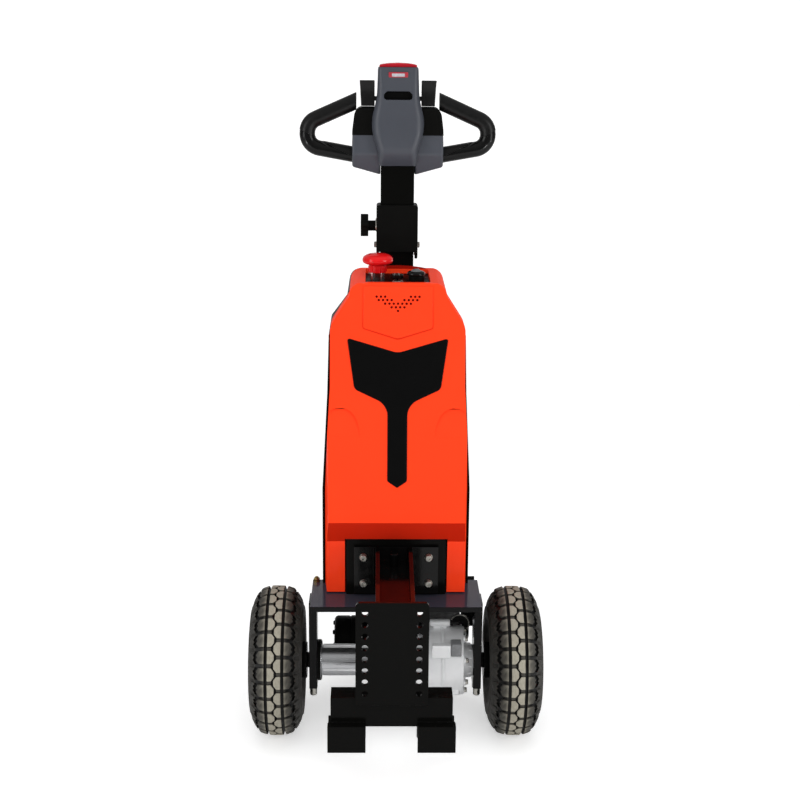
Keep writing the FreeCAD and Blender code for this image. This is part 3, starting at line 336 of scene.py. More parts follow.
def black_enamel(name="black_enamel", tint=(9, 9, 8), gloss=0.06, rough=0.12, dusty=0.8,
                 painted_sheen=0.0):
    """Thick glossy black paint on plate steel, with orange peel, dust on top, and a painted sheen on
    top.
    """
    finish = Finish(name, Specular_IOR_Level=gloss)
    dust = finish.facing_up().between(0.7, 1.0) * finish.noise(260, 5, 0.7).between(0.45, 0.75)
    skin = finish.mix(shade(*tint), shade(58, 56, 54), dust * (0.12 * dusty))
    # Painted sheen: on faces that look up, a pale violet-grey stands in for a reflection.
    painted_sheen_on_top = finish.facing_up().between(0.8, 1.0) * painted_sheen
    matt = finish.noise(35, 3).between(0.3, 0.7, rough, rough + 0.07)
    finish.wears(Base_Color=finish.mix(skin, shade(80, 79, 94), painted_sheen_on_top),
                 Roughness=matt + dust * (0.15 * dusty))
    return finish.bump(finish.noise(300, 2), 0.00005)


def satin_black(name="satin_black", tint=(14, 14, 13), grain=900):
    """Moulded black plastic with a fine spark-eroded grain."""
    return mottled(name, tint, 0.78, (12, 3), (50, 3), (0.36, 0.48), (grain, 2, 0.00008),
                   Specular_IOR_Level=0.04)


def gloss_black():
    """Polished black inlay with a few pinpoint specks."""
    finish = Finish("gloss_black", Specular_IOR_Level=0.1)
    specks = finish.cells(90).between(0.0, 0.05, 1.0, 0.0)
    finish.wears(Base_Color=finish.mix(shade(9, 9, 9), shade(90, 96, 98), specks * 0.25),
                 Roughness=finish.noise(25, 3).between(0.3, 0.7, 0.12, 0.2))
    return finish.bump(finish.noise(220, 2), 0.00003)


def head_grey():
    """Slate-grey moulding of the tiller head: fine leather-like grain, soft sheen."""
    finish = Finish("head_grey", Specular_IOR_Level=0.4)
    finish.wears(Base_Color=finish.mix(shade(58, 61, 68), shade(66, 69, 77), finish.noise(9, 3)),
                 Roughness=finish.noise(70, 3).between(0.3, 0.7, 0.34, 0.46))
    return finish.bump(finish.cells(1500, "SMOOTH_F1"), 0.00012, 0.6)


def bright_red(name, tint, rough):
    """Shiny red plastic for the controls."""
    return mottled(name, tint, 0.9, (18, 3), (60, 2), (rough, rough + 0.08), (500, 2, 0.00003),
                   IOR=1.5, Specular_IOR_Level=0.1, Coat_Weight=0.42, Coat_Roughness=0.02)


# %% Metals
def cast_aluminium():
    """Sand-cast aluminium: pale and grainy, with darker patches."""
    finish = Finish("cast_aluminium", IOR=1.45)
    grain = finish.noise(520, 4, 0.65)
    clouds = finish.noise(22, 4, 0.6)
    finish.wears(Base_Color=finish.mix(shade(222, 223, 224), shade(244, 245, 246), clouds),
                 Metallic=clouds.between(0.2, 0.8, 0.3, 0.45),
                 Roughness=grain.between(0.3, 0.7, 0.34, 0.5))
    return finish.bump(grain + finish.noise(120, 3) * 0.8, 0.00025)


def turned_steel(name="turned_steel", rough=0.2, stretch=(1, 0.02, 0.02)):
    """Bright steel with fine rings about its axis, or with lines along it where it is drawn."""
    finish = Finish(name, IOR=1.45, Metallic=1.0)
    rings = finish.noise(700, 2, 0.5, stretch)
    finish.wears(Base_Color=finish.mix(shade(186, 187, 190), shade(226, 227, 229), rings),
                 Roughness=rings.between(0.3, 0.7, rough, rough + 0.14))
    return finish.bump(rings, 0.00004)


def zinc(name="zinc", tint=(196, 194, 186)):
    """Zinc-plated fasteners, slightly cloudy."""
    clouds = (160, 3, 0.6)
    return mottled(name, tint, 0.82, clouds, clouds, (0.22, 0.4), (900, 2, 0.00004), IOR=1.45,
                   Metallic=1.0)


def painted_steel(name, tint):
    """Sheet steel in satin paint, scuffed lighter in places."""
    finish = Finish(name, IOR=1.47)
    scuffs = finish.noise(90, 5, 0.7).between(0.55, 0.75)
    light = shade(*(part * 1.18 for part in tint))
    finish.wears(Base_Color=finish.mix(shade(*tint), light, scuffs),
                 Roughness=scuffs.between(0.0, 1.0, 0.38, 0.52))
    return finish.bump(finish.noise(380, 2), 0.00006)


# %% [markdown]
# ## Rubber
#
# The tread is the one surface of the machine that works against the ground.  Its middle blocks are
# rubbed pale and dusty, the shoulders stay dark, and painted shade turns the deep grooves near black.
# The mask is the distance from the wheel's axle together with the distance from its middle plane, so
# the dust sits only on the outer faces of the middle blocks.

# %% Rubbers
SHOULDER_REACH = 53
SHOULDER_DROP = 31
CROWN_POWER = 3.8


def tread_rubber(side, tyre):
    """Tyre rubber: pale worn tops in the middle, grey cross grooves, painted shade in deep grooves."""
    finish = Finish("tread_rubber_" + side, Specular_IOR_Level=0.3)
    across = (finish.along("X") - mm(tyre.middle.x)).size()
    up = finish.along("Z") - mm(tyre.middle.z)
    out = (finish.along("Y") * finish.along("Y") + up * up) ** 0.5
    fall = (across / mm(SHOULDER_REACH)) ** CROWN_POWER * mm(SHOULDER_DROP)
    depth = mm(tyre.half.z) - out - fall
    smear = finish.noise(240, 4, 0.65, (1, 1, 0.5)).between(0.2, 0.8, 0.7, 1.0)
    core = across.between(0.0155, 0.0205, 1.0, 0.62)
    wing = across.between(0.0205, 0.034, 1.0, 0.1)
    worn = depth.between(0.0008, 0.0022, 1.0, 0.0) * core * wing * smear
    tread = across.between(0.036, 0.041, 1.0, 0.0)
    ledges = depth.between(0.0022, 0.0028) * depth.between(0.0036, 0.0046, 1.0, 0.0) * tread
    # Painted shade: the deep grooves turn near black.
    deep = depth.between(0.0042, 0.006) * across.between(0.042, 0.046, 1.0, 0.0)
    rubber = finish.mix(shade(34, 33, 30), shade(50, 48, 44), finish.noise(30, 4, 0.6))
    rubber = finish.mix(rubber, shade(72, 69, 63), ledges * 0.7)
    rubber = finish.mix(rubber, shade(7, 7, 6), deep)
    rough = finish.noise(80, 3).between(0.3, 0.7, 0.5, 0.66)
    finish.wears(Base_Color=finish.mix(rubber, shade(166, 161, 146), worn),
                 Roughness=rough + worn * 0.2)
    return finish.bump(finish.noise(650, 4, 0.6), 0.00016)


def soft_rubber(name, tint, rough):
    """Plain moulded rubber with a fine matt skin."""
    return mottled(name, tint, 0.75, (40, 4, 0.6), (90, 3), (rough, rough + 0.12),
                   (700, 3, 0.00012), Specular_IOR_Level=0.25)


RED = moulded_red()
# A darker copy of the red for the brow at the back of the dashboard tub: painted shade.
RED_PAINTED_SHADE = moulded_red("moulded_red_painted_shade", (150, 18, 8), (160, 22, 10))
# A darker red for the thin line round the raised panel's lower edges: a painted shadow.
RED_PAINTED_SHADOW = moulded_red("moulded_red_painted_shadow", (214, 40, 16), (220, 44, 18))
# Near-black red for the vent holes: painted shade inside the holes.
VENT_PAINTED_SHADE = moulded_red("vent_painted_shade", (76, 5, 3), (84, 6, 4))
ENAMEL = black_enamel()
PLATE_ENAMEL = black_enamel("plate_enamel", (9, 9, 9), 0.2, 0.08, 0.1)
# The cradle's enamel carries a painted sheen on its top faces.
CRADLE_ENAMEL = black_enamel("cradle_enamel", (9, 9, 10), 0.14, 0.05, 0.1, 0.55)
TUBE_ENAMEL = black_enamel("tube_enamel", (11, 11, 11), 0.22)
# An opaque grey for the gauge's dome: a painted reflection of its glass.
DOME_PAINTED_REFLECTION = black_enamel("dome_painted_reflection", (96, 98, 100), 0.5, 0.05, 0.1)
SATIN = satin_black()
SHELL_BLACK = satin_black("shell_black", (13, 13, 13), 1200)
DASH_BLACK = satin_black("dash_black", (11, 11, 11), 1100)
INLAY = gloss_black()
GREY = head_grey()
CAST = cast_aluminium()
STEEL = turned_steel()
TUBE_METAL = turned_steel("drawn_tube", 0.26, (0.02, 1, 1))
ZINC = zinc()
BRASS = zinc("brass", (196, 170, 112))
COPPER = zinc("copper_washer", (190, 120, 74))
RIM_GREY = painted_steel("rim_grey", (92, 93, 96))
BATTERY_GREY = painted_steel("battery_grey", (70, 72, 75))
CASTER_GREY = painted_steel("caster_grey", (120, 121, 123))
BADGE_RED = painted_steel("badge_red", (160, 34, 48))
BADGE_PALE = painted_steel("badge_pale", (172, 174, 180))
STOP_RED = bright_red("stop_red", (232, 22, 26), 0.12)
BELLY_RED = bright_red("belly_red", (196, 26, 42), 0.3)
CASE_DARK = soft_rubber("case_dark", (12, 12, 12), 0.6)
GRIP = soft_rubber("grip_rubber", (13, 13, 13), 0.3)
CASTER_RUBBER = soft_rubber("caster_rubber", (58, 58, 60), 0.5)
print("finishes:", len(bpy.data.materials))

# %% [markdown]
# ## Dressing a built piece
#
# A piece that was built with knife-sharp edges looks like a drawing, because in real light every
# edge catches a thin highlight.  `soften` copies a built piece, joins its loose triangles back into
# clean faces, and rounds each sharp edge with a bevel.  The copy then stands in for the original.
# From here on lengths are given in millimetres, and `Shape` turns them into metres.


# %% Helpers for pieces
class Box:
    """The box of a built piece in millimetres: corners, middle, size and half the size."""

    def __init__(self, node):
        self.low, self.high = (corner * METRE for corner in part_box(node))
        self.middle = (self.low + self.high) / 2
        self.size = self.high - self.low
        self.half = self.size / 2


def points_of(items):
    """The corners among freshly made geometry."""
    return [item for item in items if isinstance(item, bmesh.types.BMVert)]


def ring_of(count, radius, start=0.0):
    """Places round the X axis, counted from the top."""
    for index in range(count):
        turn = Matrix.Rotation(math.radians(start + 360 / count * index), 3, X)
        yield turn @ Vector((0, 0, radius))


class Shape:
    """A piece in the making, empty or copied from a built piece with clean flat faces."""

    def __init__(self, node=None):
        self.bm = bmesh.new()
        if node:
            self.bm.from_mesh(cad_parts[node].data)
            self.merge()
            bmesh.ops.dissolve_limit(self.bm, angle_limit=math.radians(0.5), verts=self.bm.verts,
                                     edges=self.bm.edges)

    def merge(self):
        """Join corners that lie on one another."""
        bmesh.ops.remove_doubles(self.bm, verts=self.bm.verts, dist=mm(0.01))

    def outward(self):
        """Make all faces look outward."""
        bmesh.ops.recalc_face_normals(self.bm, faces=self.bm.faces)
        return self

    def everything(self):
        """Corners, edges and faces in one list."""
        return self.bm.verts[:] + self.bm.edges[:] + self.bm.faces[:]

    def bevel(self, geometry, width, segments=2, affect="EDGES"):
        """Round edges or corners."""
        bmesh.ops.bevel(self.bm, geom=list(geometry), offset=mm(width), offset_type="OFFSET",
                        affect=affect, segments=segments, profile=0.5, material=-1,
                        clamp_overlap=True)
        return self

    def round_off(self, width, segments=2, angle=30):
        """Bevel every edge that turns by more than an angle."""
        limit = math.radians(angle)
        return self.bevel([edge for edge in self.bm.edges
                           if edge.is_manifold and edge.calc_face_angle(0) > limit], width, segments)

    def outline(self, points):
        """A flat face through points."""
        return self.bm.faces.new([self.bm.verts.new(mm(point)) for point in points])

    def pulled(self, face, step):
        """Pull a face by a step and return the corners of its new end."""
        end = points_of(bmesh.ops.extrude_face_region(self.bm, geom=[face])["geom"])
        bmesh.ops.translate(self.bm, vec=mm(step), verts=end)
        return end

    def prism(self, points, step):
        """A flat outline pulled into a solid."""
        self.pulled(self.outline(points), step)
        return self.outward()

    def cut(self, place, normal, drop_ahead=True):
        """Cut at a plane, drop what lies ahead of it or behind it, and close the cut."""
        made = bmesh.ops.bisect_plane(self.bm, geom=self.everything(), plane_co=mm(place),
                                      plane_no=normal, clear_outer=drop_ahead,
                                      clear_inner=not drop_ahead)["geom_cut"]
        bmesh.ops.contextual_create(self.bm, geom=[item for item in made
                                                   if isinstance(item, bmesh.types.BMEdge)])
        return self

    def absorb(self, other, place, turn):
        """Take in another shape, turned and then set at a place."""
        matrix = Matrix.Translation(mm(place)) @ turn.to_4x4()
        bmesh.ops.transform(other.bm, matrix=matrix, verts=other.bm.verts)
        mesh = bpy.data.meshes.new("scratch")
        other.bm.to_mesh(mesh)
        other.bm.free()
        self.bm.from_mesh(mesh)
        bpy.data.meshes.remove(mesh)
        return self

    def turned(self, line, place, axis=X, steps=48):
        """Turn a line of (along, out) points about an axis through a place."""
        part = Shape()
        verts = [part.bm.verts.new((mm(along), 0, mm(out))) for along, out in line]
        edges = [part.bm.edges.new(pair) for pair in zip(verts, verts[1:])]
        bmesh.ops.spin(part.bm, geom=verts + edges, cent=(0, 0, 0), axis=X, dvec=(0, 0, 0),
                       angle=2 * math.pi, steps=steps, use_merge=True, use_duplicate=False)
        part.merge()
        part.outward()
        return self.absorb(part, place, X.rotation_difference(axis).to_matrix())

    def block(self, low, high, width, segments=2):
        """A block between two corners with rounded edges."""
        low, high = Vector(low), Vector(high)
        made = bmesh.ops.create_cube(self.bm, size=1)["verts"]
        bmesh.ops.scale(self.bm, vec=mm(high - low), verts=made)
        bmesh.ops.translate(self.bm, vec=mm(low + high) / 2, verts=made)
        return self.bevel({edge for vert in made for edge in vert.link_edges}, width, segments)

    def stack(self, place, axis, radius, sides, height, *steps, start=0.0):
        """A disc raised to a height, then inset and moved on step by step, and turned to an axis."""
        before = set(self.bm.verts)
        foot = bmesh.ops.create_circle(self.bm, cap_ends=True, radius=mm(radius),
                                       segments=sides)["verts"]
        bmesh.ops.translate(self.bm, vec=mm(0, 0, start), verts=foot)
        top = next(iter(foot[0].link_faces))
        if height:
            made = bmesh.ops.extrude_face_region(self.bm, geom=[top])["geom"]
            if top.is_valid:
                bmesh.ops.delete(self.bm, geom=[top], context="FACES_ONLY")
            top = next(item for item in made if isinstance(item, bmesh.types.BMFace))
            bmesh.ops.translate(self.bm, vec=mm(0, 0, height), verts=top.verts)
        for inward, on in steps:
            bmesh.ops.inset_region(self.bm, faces=[top], thickness=mm(inward), use_even_offset=True)
            bmesh.ops.translate(self.bm, vec=mm(0, 0, on), verts=top.verts)
        turn = axis.to_track_quat("Z", "Y").to_matrix().to_4x4()
        bmesh.ops.transform(self.bm, matrix=Matrix.Translation(mm(*place)) @ turn,
                            verts=[vert for vert in self.bm.verts if vert not in before])
        return self

    def socket_screw(self, place, axis, radius, height):
        """Button head with a chamfered rim and a socket."""
        return self.stack(place, axis, radius, 20, height * 0.6,
                          (radius * 0.1, height * 0.25), (radius * 0.12, height * 0.12),
                          (radius * 0.28, 0), (radius * 0.03, -height * 0.5))

    def hexagon_nut(self, place, axis, radius, height, stud):
        """Six-sided nut with a chamfered top and the end of its stud."""
        self.stack(place, axis, radius, 6, height * 0.88, (radius * 0.1, height * 0.12))
        return self.stack(place, axis, radius * 0.5, 16, stud, (radius * 0.08, radius * 0.06),
                          start=height * 0.9)

    def washer(self, place, axis, radius, height):
        """A flat ring under a screw, closed in the middle where the screw hides it."""
        return self.stack(place, axis, radius, 24, height * 0.7, (radius * 0.05, height * 0.3))

    def carve(self, cutter):
        """Cut another closed shape out of this one."""
        scratch = []
        for part in (self, cutter):
            mesh = bpy.data.meshes.new("scratch")
            part.bm.to_mesh(mesh)
            part.bm.free()
            scratch.append(bpy.data.objects.new("scratch", mesh))
            bpy.context.scene.collection.objects.link(scratch[-1])
        cutting = scratch[0].modifiers.new("carve", "BOOLEAN")
        cutting.object = scratch[1]
        cutting.operation = "DIFFERENCE"
        cutting.solver = "EXACT"
        seen = scratch[0].evaluated_get(bpy.context.evaluated_depsgraph_get())
        made = bpy.data.meshes.new_from_object(seen)
        self.bm = bmesh.new()
        self.bm.from_mesh(made)
        for item in scratch:
            used = item.data
            bpy.data.objects.remove(item)
            bpy.data.meshes.remove(used)
        bpy.data.meshes.remove(made)
        self.merge()
        return self

    def keep(self, name, finish, slot, sharp=35, body="chassis", replaces=None):
        """Turn the shape into a named piece that rides on a body."""
        mesh = bpy.data.meshes.new(name)
        self.bm.to_mesh(mesh)
        self.bm.free()
        mesh.shade_smooth()
        mesh.set_sharp_from_angle(angle=math.radians(sharp))
        mesh.materials.append(finish)
        piece = bpy.data.objects.new(name, mesh)
        bpy.context.scene.collection.objects.link(piece)
        flat = piece.modifiers.new("broad_faces_stay_flat", "WEIGHTED_NORMAL")
        flat.keep_sharp = True
        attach(piece, body)
        if replaces:
            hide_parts(replaces)


def finish_nodes(finish, *nodes):
    """Give built pieces a finish and leave their shape as it is."""
    for node in nodes:
        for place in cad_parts[node].material_slots:
            place.material = finish


def soften(node, finish, slot, width, segments=2, body="chassis"):
    """Replace a built piece by a copy with rounded edges."""
    Shape(node).round_off(width, segments).keep(node + "_dressed", finish, slot, body=body,
                                                replaces=node)


def shouldered(node, finish, slot, corner, steps, width, angle=30, depth=1.0, body="chassis"):
    """Replace a built piece by a copy with two big rounded corners on top and broken edges."""
    shape = Shape(node)
    low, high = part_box(node)
    corners = [edge for edge in shape.bm.edges
               if abs(edge.verts[0].co.y - edge.verts[1].co.y) > mm(depth)
               and all(abs(vert.co.z - high.z) < mm(0.1) for vert in edge.verts)
               and all(min(abs(vert.co.x - low.x), abs(vert.co.x - high.x)) < mm(0.1)
                       for vert in edge.verts)]
    print(node, "corners:", len(corners))
    shape.bevel(corners, corner, steps).round_off(width, 2, angle)
    shape.keep(node + "_dressed", finish, slot, body=body, replaces=node)


print("built pieces:", len(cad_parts))

# %% [markdown]
# ## Plate steel: cradle and hitch
#
# Everything that carries the load is flame-cut plate, welded and painted in thick black enamel.
# The paint pulls back a little at the edges, so a bevel of a millimetre or two with a gloss on it
# is what tells the eye that this is heavy steel.

# %% Round the edges of the steelwork
soften("axle_cradle", CRADLE_ENAMEL, "frame_black", 1.6, 3)
shouldered("hitch_recess", ENAMEL, "frame_black", 6, 4, 1.0)
soften("hitch_arm", PLATE_ENAMEL, "frame_black", 1.4)
soften("hitch_crossbar", ENAMEL, "frame_black", 2.2, 3)
soften("drop_pin", PLATE_ENAMEL, "frame_black", 1.2, 3)
soften("caster_pedestal", ENAMEL, "frame_black", 1.5)
soften("chassis_floor", ENAMEL, "floor_black", 1.0)
soften("axle_tube", TUBE_METAL, "cast_aluminium", 1.2)
shouldered("hitch_plate", ENAMEL, "frame_black", 9, 6, 0.8, 40)
print("steelwork rounded")

# %% [markdown]
# ## Fasteners
#
# A socket-head screw is a short cylinder with a chamfered rim and a six-sided socket.  It starts as
# a circle that is extruded and inset, and is then turned to face where it is screwed in.

# %% Screws of the hitch and the cradle
bolts = Box("hitch_bolts")
screws = Shape()
for x in (bolts.low.x + 9, bolts.high.x - 9):
    for z in (bolts.low.z + 9, bolts.high.z - 9):
        screws.washer((x, bolts.high.y, z), -Y, 9, 1.8)
        screws.socket_screw((x, bolts.high.y - 1.6, z), -Y, 8.1, 6.3)
screws.keep("hitch_screws", ZINC, "zinc", replaces="hitch_bolts")

clamps = Box("cradle_bolts")
nuts = Shape()
for x in (clamps.low.x + 8, clamps.high.x - 8):
    for y in (clamps.low.y + 8, clamps.high.y - 8):
        nuts.stack((x, y, clamps.high.z), -Z, 7.9, 24, 16.5, (0.7, 1.4), (1.6, 1.2), (2.2, 0.4))
nuts.keep("clamp_nuts", ZINC, "zinc", replaces="cradle_bolts")
print("screws and nuts set")

# %% [markdown]
# ## Drive tyres
#
# The carcass is a line turned about the axle: `spin` sweeps it through a full circle and merges the
# seam.  The tread repeats, so only one pitch of blocks is modelled, and `spin` with duplicates
# copies it round.  A block starts as a flat outline on the carcass: across the tyre its corners are
# lengths, and along the tread they are shares of the pitch.  The middle blocks meet in a zigzag,
# the wing blocks have saw teeth, and low bridges stand in the cross grooves.

# %% Carcass and tread of a tyre
PITCHES = 28
PITCH_ANGLE = 2 * math.pi / PITCHES
GROOVE = 7
CENTRE_BLOCK = [(14.8, 0.1), (14.8, 0.9), (5.8, 0.9), (-0.8, 0.66), (-0.8, 0.34), (5.8, 0.1)]
CENTRE_BRIDGE = [(14.5, -0.12), (14.5, 0.12), (5.2, 0.08), (5.2, -0.08)]
WING_BLOCK = [(20.6, 0.1), (33, 0.1), (35, 0.22), (38.4, 0.35), (35.2, 0.49), (38.6, 0.63),
              (35.2, 0.79), (33, 0.9), (20.6, 0.9)]
WING_BRIDGE = [(20.8, -0.12), (43, -0.12), (43, 0.12), (20.8, 0.12)]
SHOULDER_BLOCK = [(40.5, 0.08), (50, 0.12), (53.5, 0.24), (53.5, 0.76), (50, 0.88), (40.5, 0.92),
                  (42, 0.79), (45.6, 0.63), (42, 0.49), (45.4, 0.35), (41.8, 0.22)]
TREAD = [(CENTRE_BLOCK, 0.04, GROOVE), (WING_BLOCK, 0.04, GROOVE), (SHOULDER_BLOCK, 0.06, 6.4),
         (CENTRE_BRIDGE, 0.02, 3.8), (WING_BRIDGE, 0.02, 3.8)]


def tread_block(tread, outline, tyre, taper, rise):
    """One tread block: an outline bent round the tyre, pulled out and drawn in a little."""
    foot = []
    for across, share in outline:
        drop = SHOULDER_DROP * (abs(across) / SHOULDER_REACH) ** CROWN_POWER
        turn = Matrix.Rotation(share * PITCH_ANGLE, 3, X)
        foot.append(tyre.middle + turn @ Vector((across, 0, tyre.half.z - drop - GROOVE)))
    face = tread.outline(foot)
    crown = tread.pulled(face, Vector())
    middle = sum((vert.co for vert in crown), Vector()) / len(crown)
    for vert in crown:
        out = vert.co - mm(tyre.middle)
        vert.co += Vector((0, out.y, out.z)).normalized() * mm(rise)
        vert.co += (middle - vert.co) * taper
    bmesh.ops.delete(tread.bm, geom=[face], context="FACES_ONLY")
    tread.bevel({edge for vert in crown for edge in vert.link_edges}, 0.9, 1)


def drive_tyre(side):
    """Carcass with bead, sidewall rings and tread."""
    node = "tyre_" + side
    tyre = Box(node)
    body = "wheel_" + side
    rubber = tread_rubber(side, tyre)
    half = tyre.half.x
    wall = [(45, 81), (47.5, 85), (49, 89), (51.5, 92), (54, 96), (54.8, 98), (56, 98.4), (57, 104),
            (57.7, 110), (half, 114.5), (half - 0.3, 119), (56.2, 121), (55, 122), (54.4, 127),
            (53, 131), (50.5, 134), (46, 139.5), (41, 144.6), (36, 149.4), (30, 153.2), (22, 156.2),
            (12, 157.9)]
    carcass = Shape().turned([(-along, out) for along, out in wall] + wall[::-1], tyre.middle, X, 120)
    carcass.keep(node + "_carcass", rubber, "tyre_rubber", body=body, replaces=node)

    tread = Shape()
    for outline, taper, rise in TREAD:
        tread_block(tread, outline, tyre, taper, rise)
        other_side = [(-across, share + 0.5) for across, share in reversed(outline)]
        tread_block(tread, other_side, tyre, taper, rise)
    bmesh.ops.spin(tread.bm, geom=tread.everything(), cent=mm(tyre.middle), axis=X,
                   dvec=(0, 0, 0), angle=2 * math.pi, steps=PITCHES, use_merge=False,
                   use_duplicate=True)
    tread.merge()
    tread.outward().keep(node + "_tread", rubber, "tyre_rubber", 50, body)
    print(node, "radius", round(tyre.half.z, 1))


for side, _ in SIDES:
    drive_tyre(side)

# %% [markdown]
# ## Rims and hubs
#
# A small industrial rim is two pressed steel halves bolted together.  Its section is one line:
# flange, bead seat, drop, and the disc down to the hub.  Turned about the axle, with wheel nuts and
# a valve added, it reads as a rim from the side and from behind.


# %% Rims, wheel nuts and valves
def rim(side, sign):
    """Pressed rim with nuts on the outside and a valve."""
    node = "rim_" + side
    body = "wheel_" + side
    box = Box(node)
    half = box.half.x
    section = [(half, 79.9), (half, 76.5), (half - 2, 75.2), (22, 74.6), (17, 72), (13, 66), (12, 60),
               (9, 56), (4, 54.5), (2.5, 50), (2.5, 17.2), (-2.5, 17.2), (-2.5, 52), (1, 57), (6, 61),
               (8.5, 67), (10, 72.5), (3 - half, 74.6), (-half, 76.5), (-half, 79.9)]
    pressed = Shape().turned([(along * sign, out) for along, out in section], box.middle, X, 96)
    pressed.keep("rim_%s_pressed" % side, RIM_GREY, "rim_grey", body=body, replaces=node)
    nuts = Shape()
    for offset in ring_of(5, 34):
        place = box.middle + X * sign * 2.5 + offset
        nuts.washer(place, X * sign, 9, 1.5)
        nuts.hexagon_nut(place + X * sign * 1.4, X * sign, 8, 8, 4)
    nuts.keep("wheel_nuts_" + side, ZINC, "zinc", body=body)
    stem = [(0, 2.9), (9, 2.9), (10, 2.4), (20, 2.4), (21, 3.1), (28, 3.1), (29, 2.2), (29, 0.2)]
    valve = Shape().turned([(along * sign, out) for along, out in stem],
                           box.middle + Vector((sign * 10, 0, 66)), X, 16)
    valve.keep("valve_" + side, SATIN, "hub_black", body=body)


for side, sign in SIDES:
    rim(side, sign)
    soften("hub_" + side, ENAMEL, "hub_black", 1.5, 3, "wheel_" + side)
print("rims and hubs dressed")

# %% [markdown]
# ## Castings of the drive axle
#
# The gearbox is two cast halves: a parting flange runs round it, screw bosses stand on it, and a
# ribbed cone leads out to the wheel.  Castings have draft and round edges everywhere, so each boss
# is a block with a generous bevel.

# %% Gear housing with its bosses and screws
axle = Vector((0, (Box("hub_left").low.y + Box("hub_right").high.y) / 2, Box("tyre_left").middle.z))
gear_top = Box("gear_housing").high.z
DRUM_OUT = 150
SPLIT_Y = 46
for name, ahead, finish in (("gear_case", True, CAST), ("gear_case_rear", False, CASE_DARK)):
    case = Shape("gear_housing").cut(Vector((0, SPLIT_Y, 0)), Y, ahead).round_off(2, 3, 40)
    case.keep(name, finish, "cast_aluminium", 40, replaces="gear_housing")

bosses = Shape()
bosses.turned([(-2.5, 60), (-2.5, 78.5), (-1.5, 79.5), (1.5, 79.5), (2.5, 78.5), (2.5, 60)],
              axle + X * 104, X, 96)
barrel = Vector((0, 4, gear_top + 11))
bosses.turned([(0, 0.1), (0, 7), (1, 8), (43, 8), (44, 7), (44, 0.1)], barrel + X * 77, X, 40)
bosses.block((84, -1, gear_top - 3), (114, 9, gear_top + 10), 2)
bosses.block((79, -80, 203), (120, -60, 233), 3, 3)
bosses.block((123, -62, 106), (143, -30, 133), 6, 3)
bosses.block((84, -58, 100), (112, -30, 116), 5, 3)
screws = Shape()
for offset in ring_of(8, 66, 22.5):
    bosses.turned([(0, 1), (0, 9), (4, 8.5), (5, 7.5), (5, 0.1)], axle + offset + X * (DRUM_OUT - 1),
                  X, 20)
    screws.socket_screw(axle + offset + X * (DRUM_OUT + 4), X, 6, 6)
bosses.keep("housing_bosses", CAST, "cast_aluminium", 40)
screws.keep("housing_screws", ZINC, "zinc")

bolt = Shape().socket_screw(barrel + X * 120, X, 6.5, 8)
bolt.turned([(0, 0.1), (0, 4.4), (14, 4.4), (15, 3.4), (15, 0.1)], barrel + X * 128, X, 24)
bolt.block((152, 117, 196), (181.7, 121, 318), 1).keep("filler_bolt", CASE_DARK, "hub_black")
# A grey pad on the pale casting stands in for a recess: painted shade.
Shape().block((121, -70, 203), (144, -40, 232), 2).keep("case_pocket_painted_shade", CASTER_GREY, "cast_aluminium")
plate = Shape().stack((145, 32, 239.6), -Y, 20, 40, 0, (1, 1))
plate.keep("brake_ring_plate", CASE_DARK, "hub_black")

RING_RADIUS = 20.5
WIRE_RADIUS = 1.8
wire = [(WIRE_RADIUS * math.sin(angle), RING_RADIUS + WIRE_RADIUS * math.cos(angle))
        for angle in (math.pi / 4 * corner for corner in range(9))]
ring = Shape().turned(wire, Vector((145, 30, 239.6)), Y, 48)
ring.keep("brake_ring", ZINC, "bright_steel", 60)

# %% Ribs of the bearing cone and of the axle tube
RIB_START = -160
RIB_END = 66
TUBE_REACH = 34
LEAST_REACH = 6
ribs = Shape()
for index in range(12):
    rib = Shape().block((DRUM_OUT - 2, -1.6, 20), (169, 1.6, 38.5), 1.2)
    ribs.absorb(rib, axle, Matrix.Rotation(math.radians(30 * index), 3, X))
for height in (40, -12):
    front = -math.sqrt(max(TUBE_REACH ** 2 - height ** 2, LEAST_REACH ** 2))
    middle = axle.z + height * 0.8
    ribs.block((RIB_START, front - 2.5, middle - 2.4), (RIB_END, front + 8, middle + 2.4), 1.6)
for low in (axle.z + 30, axle.z - 37):
    ribs.block((RIB_START, -5, low), (RIB_END, 5, low + 7), 1.6)
ribs.keep("casting_ribs", CAST, "cast_aluminium")

tube = Box("axle_tube")
collar = tube.half.z
seal = Shape().turned([(0, collar - 6), (0, collar - 0.6), (0.6, collar + 0.4), (7.4, collar + 0.4),
                       (8, collar - 0.6), (9.6, collar - 3), (9.6, collar - 6)],
                      Vector((tube.low.x + 0.3, axle.y, axle.z)), X, 72)
seal.keep("axle_seal", SATIN, "hub_black")
for side, sign in SIDES:
    shield = Shape().turned([(13.5, 18), (13.5, 36), (12.5, 38), (9, 38.5), (0, 38.5), (0, 18)],
                            axle + X * sign * 210, X * -sign, 72)
    shield.keep("hub_shield_" + side, SATIN, "hub_black", body="wheel_" + side)
print("castings dressed")

# %% Motor, flange and brake
motor = Box("drive_motor")
radius = motor.half.z
half = motor.half.x
can = Shape().turned([(-half, 1), (-half, radius - 8), (-half + 3, radius - 3), (-half + 8, radius - 1),
                      (-half + 34, radius - 1), (-half + 35, radius - 2.4), (-half + 38, radius - 2.4),
                      (-half + 39, radius - 0.5), (half - 4, radius - 0.5), (half - 3, radius - 3),
                      (half, radius - 3), (half, 1)], motor.middle, X, 96)
for offset in ring_of(4, radius * 0.72, 45):
    can.socket_screw(motor.middle + offset - X * half, -X, 5, 4)
can.keep("motor_can", SATIN, "motor_black", replaces="drive_motor")
soften("motor_flange_ring", STEEL, "bright_steel", 1.5, 3)

